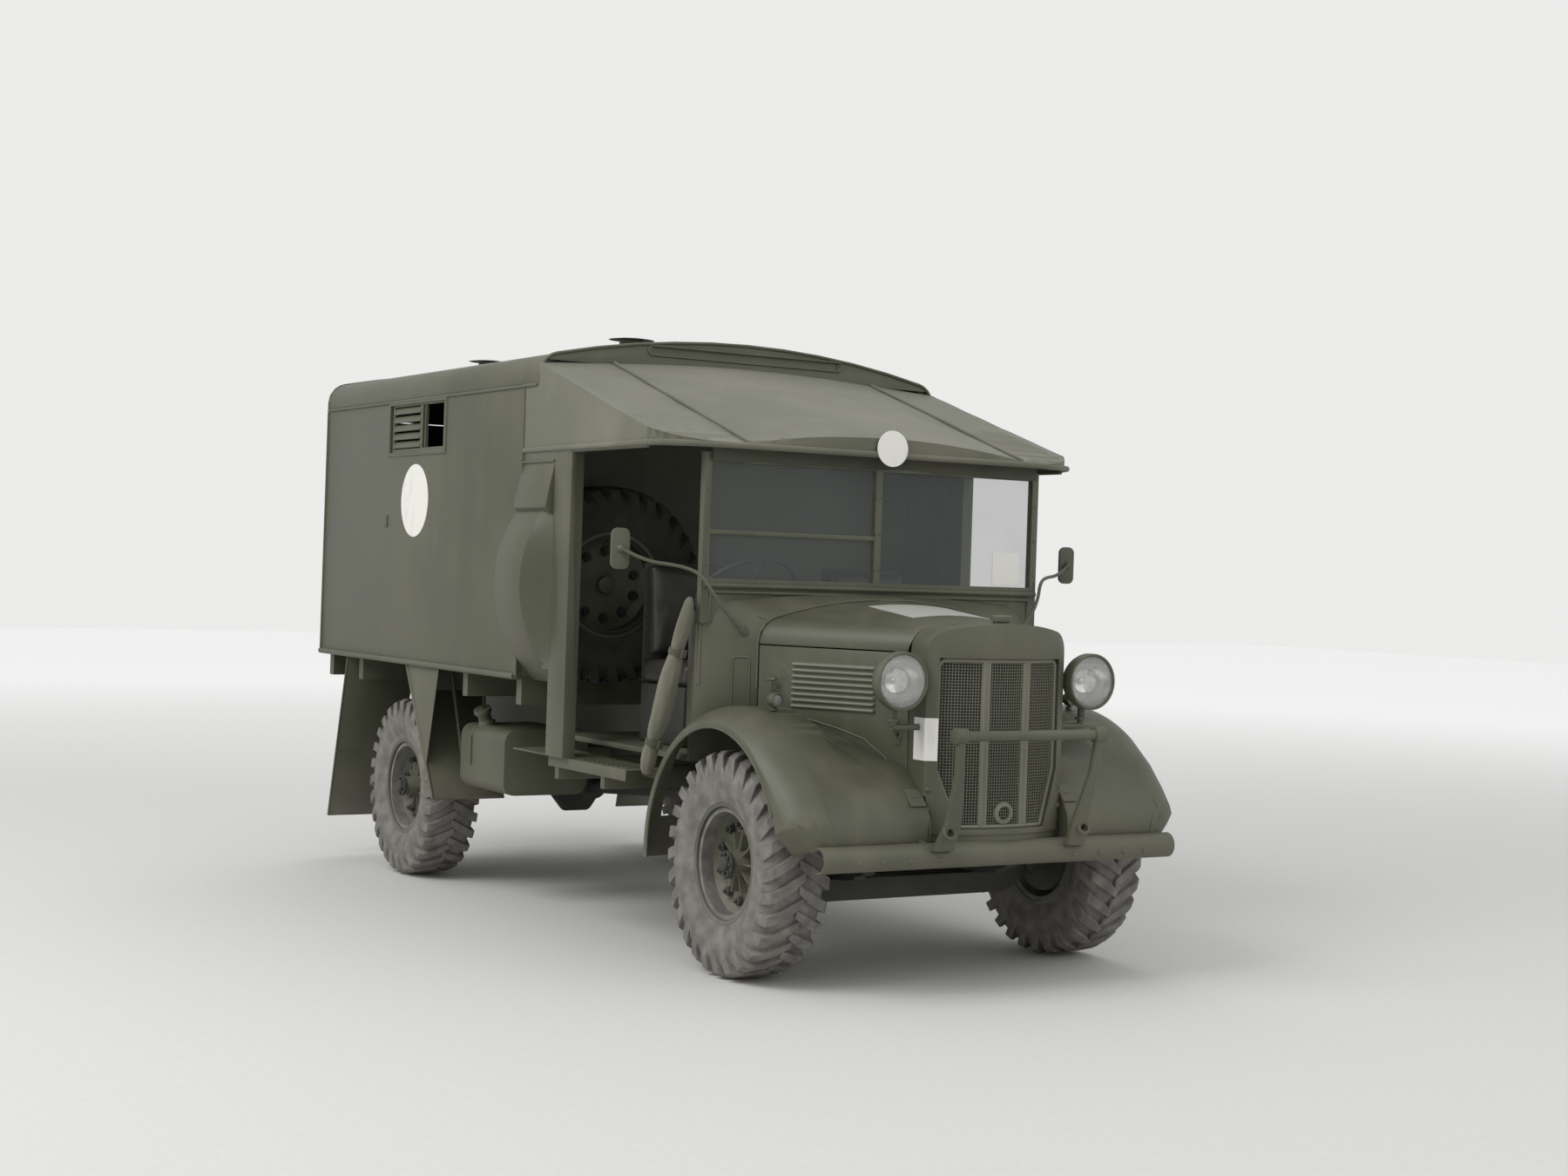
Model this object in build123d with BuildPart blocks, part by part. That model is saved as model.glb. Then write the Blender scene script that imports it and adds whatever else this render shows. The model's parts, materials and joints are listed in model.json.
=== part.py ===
from build123d import *
import os
from math import atan2, cos, degrees, radians, sin

# Heavy ambulance truck, 4x2, right-hand drive, 1940s pattern. Millimetres.
# +X forward, +Y to the vehicle's left, +Z up. The origin is on the ground
# under the middle of the overall length and width.

os.makedirs("parts", exist_ok=True)

# Running gear
FRONT_AXLE_X = 1845
WHEELBASE = 3404
REAR_AXLE_X = FRONT_AXLE_X - WHEELBASE
TYRE_RADIUS = 470
TYRE_WIDTH = 280
TREAD_DEPTH = 16
LUG_COUNT = 16
LUG_WIDTH = 40
LUG_ANGLE = 32
RIM_RADIUS = 243
RIM_WIDTH = 220
RIM_WALL = 8
FRONT_WHEEL_Y = 800
REAR_WHEEL_Y = 885
KINGPIN_Y = 655
DRUM_RADIUS = 186
RUNNING_GAP = 0.5
SEAT_GAP = 0.3
MOVING_GAP = 6

# Bonnet and radiator
BONNET_REAR_X = 1640
BONNET_FRONT_X = 2336
BONNET_REAR_HALF = 655
BONNET_FRONT_HALF = 345
BONNET_WALL = 4
CREASE_Z = 1370
SHELL_FRONT_X = BONNET_FRONT_X + 226
SHELL_LOW_Z = 640
SHELL_BOW = 640

# Chassis
RAIL_OUTER_Y = 400
RAIL_HEIGHT = 150
RAIL_FLANGE = 62
RAIL_WALL = 7
RAIL_TOP_Z = 790
RAIL_REAR_X = -2600
RAIL_FRONT_X = BONNET_FRONT_X + 129
SPRING_Y = 362
SPRING_WIDTH = 56
LEAF_THICKNESS = 11

# Rear body
BODY_REAR_X = -2661
BODY_FRONT_X = 108
BODY_HALF_WIDTH = 1102
BODY_WALL = 30
BODY_INNER_Y = BODY_HALF_WIDTH - BODY_WALL
BODY_BOTTOM_Z = 1130
BODY_FLOOR_TOP_Z = 1175
BODY_EAVES_Z = 2525
HEADER_X = 263

# Cab
CAB_FLOOR_Z = 880
SCUTTLE_REAR_X = 1478
SCUTTLE_HALF_WIDTH = 880
SCUTTLE_LOW_Z = 860
SCREEN_TOP_Z = 2180
SCREEN_HALF_WIDTH = SCUTTLE_HALF_WIDTH
CANOPY_FRONT_X = 1601
CANOPY_LOW_Z = 2205
CANOPY_PIPING_Y = 720
CANOPY_REAR_PIPING_Z = 2640
CANOPY_WALL = 8

# Front end
BUMPER_FACE_X = SHELL_FRONT_X + 26
BUMPER_HALF_WIDTH = 874
BUMPER_LOW_Z = 512
BUMPER_HIGH_Z = 615
GUARD_TUBE_X = BUMPER_FACE_X + 125
GUARD_TUBE_R = 21
GUARD_TOP_Z = 1054
LAMP_X = BONNET_FRONT_X + 154
LAMP_Y = 476
LAMP_Z = 1258
LAMP_RADIUS = 118

SIDES = {"right": -1, "left": 1}


def block(low, high, mode=Mode.ADD):
    """Add a box between two opposite corners."""
    middle = [(a + b) / 2 for a, b in zip(low, high)]
    size = [b - a for a, b in zip(low, high)]
    with Locations(tuple(middle)):
        Box(*size, mode=mode)


def side_slab(outline, y_low, y_high, mode=Mode.ADD):
    """Extrude a closed (x, z) outline across the vehicle."""
    with BuildSketch(Plane.XZ.offset(-y_high)) as profile:
        with BuildLine():
            Polyline(*outline, close=True)
        make_face()
    extrude(profile.sketch, amount=y_high - y_low, mode=mode)


def cross_slab(outline, x_low, x_high, mode=Mode.ADD):
    """Extrude a closed (y, z) outline along the vehicle."""
    with BuildSketch(Plane.YZ.offset(x_low)) as profile:
        with BuildLine():
            Polyline(*outline, close=True)
        make_face()
    extrude(profile.sketch, amount=x_high - x_low, mode=mode)


def level_slab(outline, z_low, z_high, mode=Mode.ADD):
    """Extrude a closed (x, y) outline upwards."""
    with BuildSketch(Plane.XY.offset(z_low)) as profile:
        with BuildLine():
            Polyline(*outline, close=True)
        make_face()
    extrude(profile.sketch, amount=z_high - z_low, mode=mode)


def rod(start, end, radius, mode=Mode.ADD):
    """Add a round bar between two points."""
    first = Vector(*start)
    last = Vector(*end)
    along = Plane(origin=(first + last) / 2, z_dir=last - first)
    with Locations(along.location):
        Cylinder(radius, (last - first).length, mode=mode)


def pipe(points, radius, bend, mode=Mode.ADD):
    """Sweep a round section along straight runs with round bends."""
    with BuildLine() as route:
        FilletPolyline(*points, radius=bend)
    with BuildSketch(Plane(origin=route.line @ 0, z_dir=route.line % 0)) as profile:
        Circle(radius)
    sweep(profile.sketch, path=route.line, mode=mode)


def save(builder, name):
    """Label a finished piece and write its file."""
    builder.part.label = name
    export_step(builder.part, f"parts/{name}.step")


def wheel_plane(centre, outward):
    """Plane through a wheel's centre: local x is up, local y points outward."""
    return Plane(origin=centre, x_dir=(0, 0, 1), z_dir=(-outward[1], outward[0], 0))




# Tyre: carcass turned about the axle, with a chevron of bars each side. It is
# drawn round the X axis of its own frame, which is the wheel's outward axis.
TREAD_RADIUS = TYRE_RADIUS - TREAD_DEPTH
TREAD_HALF = TYRE_WIDTH * 0.36
BEAD_HALF = RIM_WIDTH / 2 - RIM_WALL - SEAT_GAP
BEAD_RADIUS = RIM_RADIUS + SEAT_GAP
FLANK_RADIUS = RIM_RADIUS + 100
SHOULDER_HALF = TYRE_WIDTH * 0.46
SHOULDER_RADIUS = TREAD_RADIUS - 26
LUG_LENGTH = TYRE_WIDTH * 0.49
LUG_REACH = (LUG_LENGTH * sin(radians(LUG_ANGLE)) + LUG_WIDTH * cos(radians(LUG_ANGLE))) / 2
LUG_TOP = (TYRE_RADIUS ** 2 - LUG_REACH ** 2) ** 0.5
FIRST_LUG = -90 + degrees(atan2(LUG_REACH, LUG_TOP))
with BuildPart() as tyre_form:
    with BuildSketch(Plane.XZ):
        with BuildLine():
            Polyline((-BEAD_HALF, BEAD_RADIUS), (-TYRE_WIDTH / 2, FLANK_RADIUS), (-SHOULDER_HALF, SHOULDER_RADIUS),
                     (-TREAD_HALF, TREAD_RADIUS), (TREAD_HALF, TREAD_RADIUS), (SHOULDER_HALF, SHOULDER_RADIUS),
                     (TYRE_WIDTH / 2, FLANK_RADIUS), (BEAD_HALF, BEAD_RADIUS), close=True)
        make_face()
    revolve(axis=Axis.X)
    bars = []
    for number in range(LUG_COUNT):
        turn = radians(FIRST_LUG + 360 / LUG_COUNT * number)
        radial = Vector(0, cos(turn), sin(turn))
        for hand in (-1, 1):
            middle = radial * (LUG_TOP - TREAD_DEPTH) + Vector(hand * LUG_LENGTH / 2, 0, 0)
            seat = Plane(origin=middle, x_dir=(1, 0, 0), z_dir=radial).location
            bars.append(seat * Location((0, 0, 0), (0, 0, hand * LUG_ANGLE)))
    with Locations(*bars):
        Box(LUG_LENGTH, LUG_WIDTH, 2 * TREAD_DEPTH)


def place_tyre(name, centre, axle_turn):
    """Stand the tyre at a wheel's centre, its axle turned from +X about the vertical."""
    with BuildPart() as tyre:
        add(tyre_form.part.moved(Location(centre, (0, 0, axle_turn))))
    save(tyre, name)


# Road wheel: rim with edge flanges, deep dish, ribbed hub and drum, turned in one.
# Distances are outward from the wheel's middle plane.
DISH_WALL = 9
DISH_FACE = 14
DISH_RADIUS = 178
DISH_RIM_FACE = 58
HUB_RADIUS = 62
HUB_IN = -70
HUB_TAPER = 40
DRUM_IN = -75
DRUM_OUT = -20
RIB_COUNT = 10
RIB_RADIUS = 128
RIB_HEIGHT = 34


def make_wheel(centre, outward, hub_out, bore):
    """Turn one wheel; a spare, with no hub, has hub_out 0."""
    half = RIM_WIDTH / 2
    rim_in = RIM_RADIUS - RIM_WALL
    back = DISH_FACE - DISH_WALL
    rim = [(DISH_RADIUS, back), (rim_in, DISH_RIM_FACE - DISH_WALL), (rim_in, -half), (RIM_RADIUS + RIM_WALL, -half),
           (RIM_RADIUS + RIM_WALL, RIM_WALL / 2 - half), (RIM_RADIUS, RIM_WALL - half), (RIM_RADIUS, half - RIM_WALL),
           (RIM_RADIUS + RIM_WALL, half - RIM_WALL / 2), (RIM_RADIUS + RIM_WALL, half), (rim_in, half),
           (rim_in, DISH_RIM_FACE), (DISH_RADIUS, DISH_FACE)]
    if hub_out:
        inner = [(bore, hub_out - 20), (bore, HUB_IN), (HUB_RADIUS, HUB_IN), (HUB_RADIUS, DRUM_IN), (DRUM_RADIUS, DRUM_IN),
                 (DRUM_RADIUS, DRUM_OUT), (HUB_RADIUS, DRUM_OUT), (HUB_RADIUS, back)]
        cap = [(HUB_RADIUS, DISH_FACE), (HUB_TAPER, hub_out), (0, hub_out), (0, hub_out - 20)]
    else:
        inner = [(bore, back)]
        cap = [(bore, DISH_FACE)]
    with BuildPart() as wheel:
        with BuildSketch(wheel_plane(centre, outward)):
            with BuildLine():
                Polyline(*inner, *rim, *cap, close=True)
            make_face()
        revolve(axis=Axis(centre, outward))
        if hub_out:
            ribs = []
            for number in range(RIB_COUNT):
                turn = radians(360 / RIB_COUNT * number)
                arm = Vector(-outward[1], outward[0], 0) * cos(turn) + Vector(0, 0, 1) * sin(turn)
                middle = Vector(*centre) + arm * (RIB_RADIUS + HUB_TAPER) / 2
                middle += Vector(*outward) * (DISH_FACE + RIB_HEIGHT / 2 - 1)
                ribs.append(Plane(origin=middle, x_dir=arm, z_dir=outward).location)
            with Locations(*ribs):
                Box(RIB_RADIUS - HUB_TAPER, 7, RIB_HEIGHT)
    return wheel


SPINDLE_RADIUS = 30
BACKPLATE_Y = 716
FRONT_HUB_OUT = 100
REAR_HUB_OUT = 128
for side_name, side in SIDES.items():
    out = (0, side, 0)
    front_centre = (FRONT_AXLE_X, side * FRONT_WHEEL_Y, TYRE_RADIUS)
    rear_centre = (REAR_AXLE_X, side * REAR_WHEEL_Y, TYRE_RADIUS)
    place_tyre(f"front_tyre_{side_name}", front_centre, -90)
    place_tyre(f"rear_tyre_{side_name}", rear_centre, -90)
    save(make_wheel(front_centre, out, FRONT_HUB_OUT, SPINDLE_RADIUS + RUNNING_GAP), f"front_wheel_{side_name}")
    save(make_wheel(rear_centre, out, REAR_HUB_OUT, SPINDLE_RADIUS + RUNNING_GAP), f"rear_wheel_{side_name}")

# Spare wheel, standing across the vehicle behind the driver, on a stud from the
# bulkhead, under a curved cover that bulges past the side of the body
SPARE_BORE = 40
SPARE_X = BODY_FRONT_X + TYRE_WIDTH / 2 + 8
SPARE_Z = 1590
COVER_RADIUS = 595
COVER_REACH = 124
COVER_WALL = 4
COVER_AXIS_Y = COVER_RADIUS - COVER_REACH - BODY_HALF_WIDTH
SPARE_Y = COVER_AXIS_Y - (COVER_RADIUS - COVER_WALL - TYRE_RADIUS - 12)
spare_centre = (SPARE_X, SPARE_Y, SPARE_Z)
place_tyre("spare_tyre", spare_centre, 0)
save(make_wheel(spare_centre, (1, 0, 0), 0, SPARE_BORE), "spare_wheel")

# Chassis: channel rails, cross members and spring brackets
CROSS_MEMBERS = [-2560, -2060, -1100, -300, 600]
RAIL_INNER_Y = RAIL_OUTER_Y - RAIL_FLANGE
RAIL_LOW_Z = RAIL_TOP_Z - RAIL_HEIGHT
STEP_HINGE_X = -2690
STEP_HINGE_Z = 720
STEP_BRACKET_Y = RAIL_INNER_Y
STEP_PIN = 12
TOW_X = RAIL_REAR_X - 36
TOW_Z = 700
TOW_PIN = 16
TOW_JAW_HALF = 45
with BuildPart() as chassis_frame:
    for side in SIDES.values():
        outer = side * RAIL_OUTER_Y
        web = side * (RAIL_OUTER_Y - RAIL_WALL)
        inner = side * RAIL_INNER_Y
        block((RAIL_REAR_X, min(web, outer), RAIL_LOW_Z), (RAIL_FRONT_X, max(web, outer), RAIL_TOP_Z))
        for z_low in (RAIL_TOP_Z - RAIL_WALL, RAIL_LOW_Z):
            block((RAIL_REAR_X, min(inner, outer), z_low), (RAIL_FRONT_X, max(inner, outer), z_low + RAIL_WALL))
    for x in CROSS_MEMBERS:
        block((x - 30, -RAIL_OUTER_Y, RAIL_TOP_Z - 110), (x + 30, RAIL_OUTER_Y, RAIL_TOP_Z - 20))
    block((RAIL_FRONT_X - 60, -RAIL_INNER_Y - 20, 596), (RAIL_FRONT_X, RAIL_INNER_Y + 20, RAIL_LOW_Z))
    for side in SIDES.values():
        near, far = sorted((side * STEP_BRACKET_Y, side * (STEP_BRACKET_Y + 20)))
        block((STEP_HINGE_X - 20, near, STEP_HINGE_Z - 20), (RAIL_REAR_X, far, STEP_HINGE_Z + 20))
        near, far = sorted((side * RAIL_INNER_Y, side * RAIL_OUTER_Y))
        block((RAIL_REAR_X - 12, near, RAIL_LOW_Z), (RAIL_REAR_X, far, RAIL_TOP_Z))
    rod((STEP_HINGE_X, -RAIL_OUTER_Y, STEP_HINGE_Z), (STEP_HINGE_X, RAIL_OUTER_Y, STEP_HINGE_Z),
        STEP_PIN + RUNNING_GAP, mode=Mode.SUBTRACT)
    block((RAIL_REAR_X - 60, -TOW_JAW_HALF, TOW_Z - 60), (RAIL_REAR_X + 10, TOW_JAW_HALF, TOW_Z + 60))
    block((RAIL_REAR_X - 70, -TOW_JAW_HALF - 5, TOW_Z - 30), (RAIL_REAR_X - 12, TOW_JAW_HALF + 5, TOW_Z + 30),
          mode=Mode.SUBTRACT)
    rod((TOW_X, 0, TOW_Z - 70), (TOW_X, 0, TOW_Z + 70), TOW_PIN, mode=Mode.SUBTRACT)
save(chassis_frame, "chassis_frame")

# Leaf springs, eyes and shackle brackets. Rows: axle x, seat z, half length, leaves, eye z
FRONT_SEAT_Z = 385
REAR_SEAT_Z = 528
SPRINGS = [(FRONT_AXLE_X, FRONT_SEAT_Z, 470, 5, 560), (REAR_AXLE_X, REAR_SEAT_Z, 640, 6, 608)]
with BuildPart() as leaf_springs:
    for axle_x, seat_z, half_length, leaves, eye_z in SPRINGS:
        for side in SIDES.values():
            y = side * SPRING_Y
            for leaf in range(leaves):
                reach = half_length * (1 - 0.15 * (leaves - 1 - leaf))
                rise = (eye_z - seat_z - leaves * LEAF_THICKNESS) * (reach / half_length) ** 2
                low = seat_z + leaf * LEAF_THICKNESS
                with BuildSketch(Plane.XZ.offset(-(y + SPRING_WIDTH / 2))):
                    with BuildLine():
                        ThreePointArc((axle_x - reach, low + rise), (axle_x, low), (axle_x + reach, low + rise))
                        Line((axle_x + reach, low + rise), (axle_x + reach, low + rise + LEAF_THICKNESS))
                        ThreePointArc((axle_x + reach, low + rise + LEAF_THICKNESS),
                                      (axle_x, low + LEAF_THICKNESS),
                                      (axle_x - reach, low + rise + LEAF_THICKNESS))
                        Line((axle_x - reach, low + rise + LEAF_THICKNESS), (axle_x - reach, low + rise))
                    make_face()
                extrude(amount=SPRING_WIDTH)
            for end in (-1, 1):
                eye_x = axle_x + end * (half_length + 12)
                rod((eye_x, y - SPRING_WIDTH / 2, eye_z + 2), (eye_x, y + SPRING_WIDTH / 2, eye_z + 2), 24)
                block((eye_x - 12, y - 20, eye_z), (eye_x + 12, y + 20, RAIL_LOW_Z))
save(leaf_springs, "leaf_springs")

# Front axle: forged beam with eyes for the king pins
BEAM_Z = 330
with BuildPart() as front_axle:
    cross_slab([(-KINGPIN_Y, 500), (-KINGPIN_Y, 434), (43 - KINGPIN_Y, 434), (-598, BEAM_Z + 20),
                (-500, BEAM_Z - 38), (500, BEAM_Z - 38), (598, BEAM_Z + 20), (KINGPIN_Y - 43, 434), (KINGPIN_Y, 434),
                (KINGPIN_Y, 500), (KINGPIN_Y - 70, 484), (500, FRONT_SEAT_Z - SEAT_GAP),
                (-500, FRONT_SEAT_Z - SEAT_GAP), (70 - KINGPIN_Y, 484)], FRONT_AXLE_X - 28, FRONT_AXLE_X + 28)
    for side in SIDES.values():
        rod((FRONT_AXLE_X, side * KINGPIN_Y, 430), (FRONT_AXLE_X, side * KINGPIN_Y, 510), 38)
        rod((FRONT_AXLE_X, side * KINGPIN_Y, 420), (FRONT_AXLE_X, side * KINGPIN_Y, 520), 15 + RUNNING_GAP,
            mode=Mode.SUBTRACT)
save(front_axle, "front_axle")

# Steering knuckles: fork round the beam's eye, spindle, backplate and rear-facing arm
ARM_LENGTH = 190
ARM_Z = 400
for side_name, side in SIDES.items():
    pin_y = side * KINGPIN_Y
    with BuildPart() as knuckle:
        rod((FRONT_AXLE_X, pin_y, 380), (FRONT_AXLE_X, pin_y, 560), 15)
        rod((FRONT_AXLE_X, pin_y, 380), (FRONT_AXLE_X, pin_y, 424), 36)
        rod((FRONT_AXLE_X, pin_y, 516), (FRONT_AXLE_X, pin_y, 560), 36)
        web_in = side * (KINGPIN_Y + 46)
        web_out = side * BACKPLATE_Y
        block((FRONT_AXLE_X - 36, min(web_in, web_out), 380), (FRONT_AXLE_X + 36, max(web_in, web_out), 560))
        for z_low, z_high in ((380, 424), (516, 560)):
            block((FRONT_AXLE_X - 36, min(pin_y, web_out), z_low), (FRONT_AXLE_X + 36, max(pin_y, web_out), z_high))
        rod((FRONT_AXLE_X, web_in, TYRE_RADIUS), (FRONT_AXLE_X, side * 872, TYRE_RADIUS), SPINDLE_RADIUS)
        rod((FRONT_AXLE_X, web_out, TYRE_RADIUS), (FRONT_AXLE_X, side * (BACKPLATE_Y + 3), TYRE_RADIUS), DRUM_RADIUS)
        block((FRONT_AXLE_X - ARM_LENGTH, min(pin_y - 16, pin_y + 16), ARM_Z - 14),
              (FRONT_AXLE_X, max(pin_y - 16, pin_y + 16), ARM_Z + 14))
        rod((FRONT_AXLE_X - ARM_LENGTH, pin_y, ARM_Z - 14), (FRONT_AXLE_X - ARM_LENGTH, pin_y, ARM_Z + 14), 22)
        rod((FRONT_AXLE_X - ARM_LENGTH, pin_y, ARM_Z - 50), (FRONT_AXLE_X - ARM_LENGTH, pin_y, ARM_Z), 9)
    save(knuckle, f"steering_knuckle_{side_name}")

# Track rod with an eye on each arm's pin
with BuildPart() as track_rod:
    rod_x = FRONT_AXLE_X - ARM_LENGTH
    rod_z = ARM_Z - 36
    rod((rod_x, 15 - KINGPIN_Y, rod_z), (rod_x, KINGPIN_Y - 15, rod_z), 12)
    for side in SIDES.values():
        rod((rod_x, side * KINGPIN_Y, rod_z - 14), (rod_x, side * KINGPIN_Y, rod_z + 14), 22)
        rod((rod_x, side * KINGPIN_Y, rod_z - 20), (rod_x, side * KINGPIN_Y, rod_z + 20), 9 + RUNNING_GAP,
            mode=Mode.SUBTRACT)
save(track_rod, "track_rod")

# Rear axle: tubes, final drive and backplates
FINAL_DRIVE_RADIUS = 160
with BuildPart() as rear_axle:
    rod((REAR_AXLE_X, -785, TYRE_RADIUS), (REAR_AXLE_X, 785, TYRE_RADIUS), 52)
    rod((REAR_AXLE_X, -60, TYRE_RADIUS), (REAR_AXLE_X, 60, TYRE_RADIUS), FINAL_DRIVE_RADIUS)
    for side in SIDES.values():
        with Locations(Plane(origin=(REAR_AXLE_X, side * 100, TYRE_RADIUS), z_dir=(0, side, 0)).location):
            Cone(FINAL_DRIVE_RADIUS, 70, 80)
    rod((REAR_AXLE_X, 0, TYRE_RADIUS), (REAR_AXLE_X + 260, 0, TYRE_RADIUS), 70)
    for side in SIDES.values():
        rod((REAR_AXLE_X, side * 783, TYRE_RADIUS), (REAR_AXLE_X, side * 786, TYRE_RADIUS), DRUM_RADIUS)
        rod((REAR_AXLE_X, side * 780, TYRE_RADIUS), (REAR_AXLE_X, side * 985, TYRE_RADIUS), SPINDLE_RADIUS)
        block((REAR_AXLE_X - 60, side * SPRING_Y - 32, TYRE_RADIUS),
              (REAR_AXLE_X + 60, side * SPRING_Y + 32, REAR_SEAT_Z - SEAT_GAP))
save(rear_axle, "rear_axle")

# Engine with gearbox, and the propeller shaft behind it
GEARBOX_REAR_X = 1020
HANGER_X = -300
with BuildPart() as engine_block:
    block((1500, -230, 620), (2330, 230, 1260))
    block((GEARBOX_REAR_X, -140, 600), (1500, 140, 900))
    for x in (1560, 2230):
        mount_half = RAIL_OUTER_Y - RAIL_WALL - SEAT_GAP
        block((x - 30, -mount_half, 690), (x + 30, mount_half, 720))
save(engine_block, "engine_block")
with BuildPart() as propshaft:
    rod((GEARBOX_REAR_X - 4, 0, 640), (REAR_AXLE_X + 264, 0, TYRE_RADIUS), 38)
    block((HANGER_X - 26, -60, 560), (HANGER_X + 26, 60, RAIL_TOP_Z - 110))
save(propshaft, "propshaft")

# Exhaust and fuel tank
PIPE_Y = 262
with BuildPart() as exhaust:
    block((1610, 230 + SEAT_GAP, 730), (1670, 275, 780))
    pipe([(1640, PIPE_Y, 755), (1640, PIPE_Y, 600), (700, PIPE_Y, 560), (-500, PIPE_Y, 560), (-1050, PIPE_Y, 600)], 22, 60)
    rod((500, PIPE_Y, 560), (-100, PIPE_Y, 560), 75)
save(exhaust, "exhaust")
TANK_LOW_Z = 545
TANK_HIGH_Z = 865
with BuildPart() as fuel_tank:
    block((-775, -1000, TANK_LOW_Z), (-225, -560, TANK_HIGH_Z))
    fillet(fuel_tank.edges().filter_by(Axis.X), 60)
    rod((-620, -930, TANK_HIGH_Z - 10), (-620, -930, TANK_HIGH_Z + 26), 42)
    for x in (-700, -300):
        block((x - 20, -600, RAIL_TOP_Z - 60), (x + 20, -RAIL_OUTER_Y - SEAT_GAP, RAIL_TOP_Z - 20))
save(fuel_tank, "fuel_tank")


# Front wings: a hood turned about the axle over the wheel, then drawn forward and
# down to the bumper's end. Columns of the table: angle above the ground line ahead
# of the axle, then the radius of the outer edge, its distance from the middle of
# the vehicle, the radius of the crest, and that of the valley beside the bonnet.
WING_OUT_Y = 980
WING_CREST_Y = 800
WING_SLOPE_Y = 655
WING_VALLEY_Y = 525
WING_IN_Y = 300
WING_WALL = 4
WING_CORE_RADIUS = 300
ARCH_RADIUS = 560
WING_REAR_ANGLE = 184
WING_FRONT_ROWS = [(58, 590, 980, 646, 570), (42, 594, 980, 662, 648), (30, 602, 980, 690, 684),
                   (20, 630, 972, 727, 721), (13.5, 700, 872, 745, 739)]
HOOD_PLAN = [(SCUTTLE_REAR_X - 400, SCUTTLE_HALF_WIDTH), (SCUTTLE_REAR_X, SCUTTLE_HALF_WIDTH),
             (BONNET_REAR_X, BONNET_REAR_HALF), (BONNET_FRONT_X, BONNET_FRONT_HALF), (SHELL_FRONT_X + 20, BONNET_FRONT_HALF)]


def wing_section(angle, edge_radius, edge_y, crest_radius, valley_radius, inset):
    """Left wing's closed section at an angle about the axle, moved in by the inset."""
    turn = radians(angle)
    core = WING_CORE_RADIUS - inset
    crest = crest_radius - inset
    edge = edge_radius - inset
    outer_y = edge_y - inset
    roll_y = min(WING_CREST_Y, edge_y - 90)
    plane = Plane(origin=(FRONT_AXLE_X, 0, TYRE_RADIUS), x_dir=(0, 1, 0), z_dir=(sin(turn), 0, -cos(turn)))
    with BuildSketch(plane) as section:
        with BuildLine():
            Polyline((outer_y, edge), (outer_y, core), (WING_IN_Y, core), (WING_IN_Y, valley_radius - inset),
                     (WING_VALLEY_Y, valley_radius - inset), (WING_SLOPE_Y, crest), (roll_y, crest))
            ThreePointArc((roll_y, crest), (roll_y + 0.72 * (outer_y - roll_y), crest - 0.34 * (crest - edge)),
                          (outer_y, edge))
        make_face()
    return section.sketch


def wing_form(inset):
    """Solid left wing over the whole arch, moved in by the inset."""
    first = WING_FRONT_ROWS[0]
    with BuildPart() as form:
        revolve(wing_section(*first, inset), axis=Axis((FRONT_AXLE_X, 0, TYRE_RADIUS), (0, 1, 0)),
                revolution_arc=first[0] - WING_REAR_ANGLE)
        loft([wing_section(*row, inset) for row in WING_FRONT_ROWS], ruled=True)
    return form.part


def hood_plan(margin):
    """Plan outline of the bonnet, scuttle and shell, grown sideways by the margin."""
    left = [(x, y + margin) for x, y in HOOD_PLAN]
    return left + [(x, -y) for x, y in reversed(left)]


wing_cover = wing_form(-SEAT_GAP)
with BuildPart() as left_wing:
    add(wing_form(0))
    add(wing_form(WING_WALL), mode=Mode.SUBTRACT)
    rod((FRONT_AXLE_X, 0, TYRE_RADIUS), (FRONT_AXLE_X, WING_OUT_Y + 20, TYRE_RADIUS), ARCH_RADIUS, mode=Mode.SUBTRACT)
    level_slab(hood_plan(SEAT_GAP), SHELL_LOW_Z - 40, CREASE_Z, mode=Mode.SUBTRACT)
    block((2000, WING_IN_Y - 5, SHELL_LOW_Z - 100), (RAIL_FRONT_X + MOVING_GAP, RAIL_OUTER_Y + MOVING_GAP, RAIL_TOP_Z + 5),
          mode=Mode.SUBTRACT)
    block((1000, 0, SCUTTLE_LOW_Z - 8), (SCUTTLE_REAR_X, SCUTTLE_HALF_WIDTH + 1, 1400), mode=Mode.SUBTRACT)
with BuildPart() as right_wing:
    add(mirror(left_wing.part, about=Plane.XZ))
save(left_wing, "front_wing_left")
save(right_wing, "front_wing_right")

# Bonnet sections: upright sides, round shoulders and a crowned top. The crown
# leaves each shoulder at the crown angle, so the two arcs run smoothly together.
def hood_section(x, half_width, low_z, shoulder_z, shoulder, crown_deg):
    """Closed cross-section of a hood at x."""
    lean = radians(crown_deg)
    half_lean = (radians(90) + lean) / 2
    middle_y = half_width - shoulder
    end_y = middle_y + shoulder * sin(lean)
    end_z = shoulder_z + shoulder * cos(lean)
    crown_z = end_z + end_y * (1 - cos(lean)) / sin(lean)
    bend_y = middle_y + shoulder * sin(half_lean)
    bend_z = shoulder_z + shoulder * cos(half_lean)
    with BuildSketch(Plane.YZ.offset(x)) as section:
        with BuildLine():
            Polyline((-half_width, shoulder_z), (-half_width, low_z), (half_width, low_z), (half_width, shoulder_z))
            ThreePointArc((half_width, shoulder_z), (bend_y, bend_z), (end_y, end_z))
            ThreePointArc((end_y, end_z), (0, crown_z), (-end_y, end_z))
            ThreePointArc((-end_y, end_z), (-bend_y, bend_z), (-half_width, shoulder_z))
        make_face()
    return section.sketch


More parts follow.
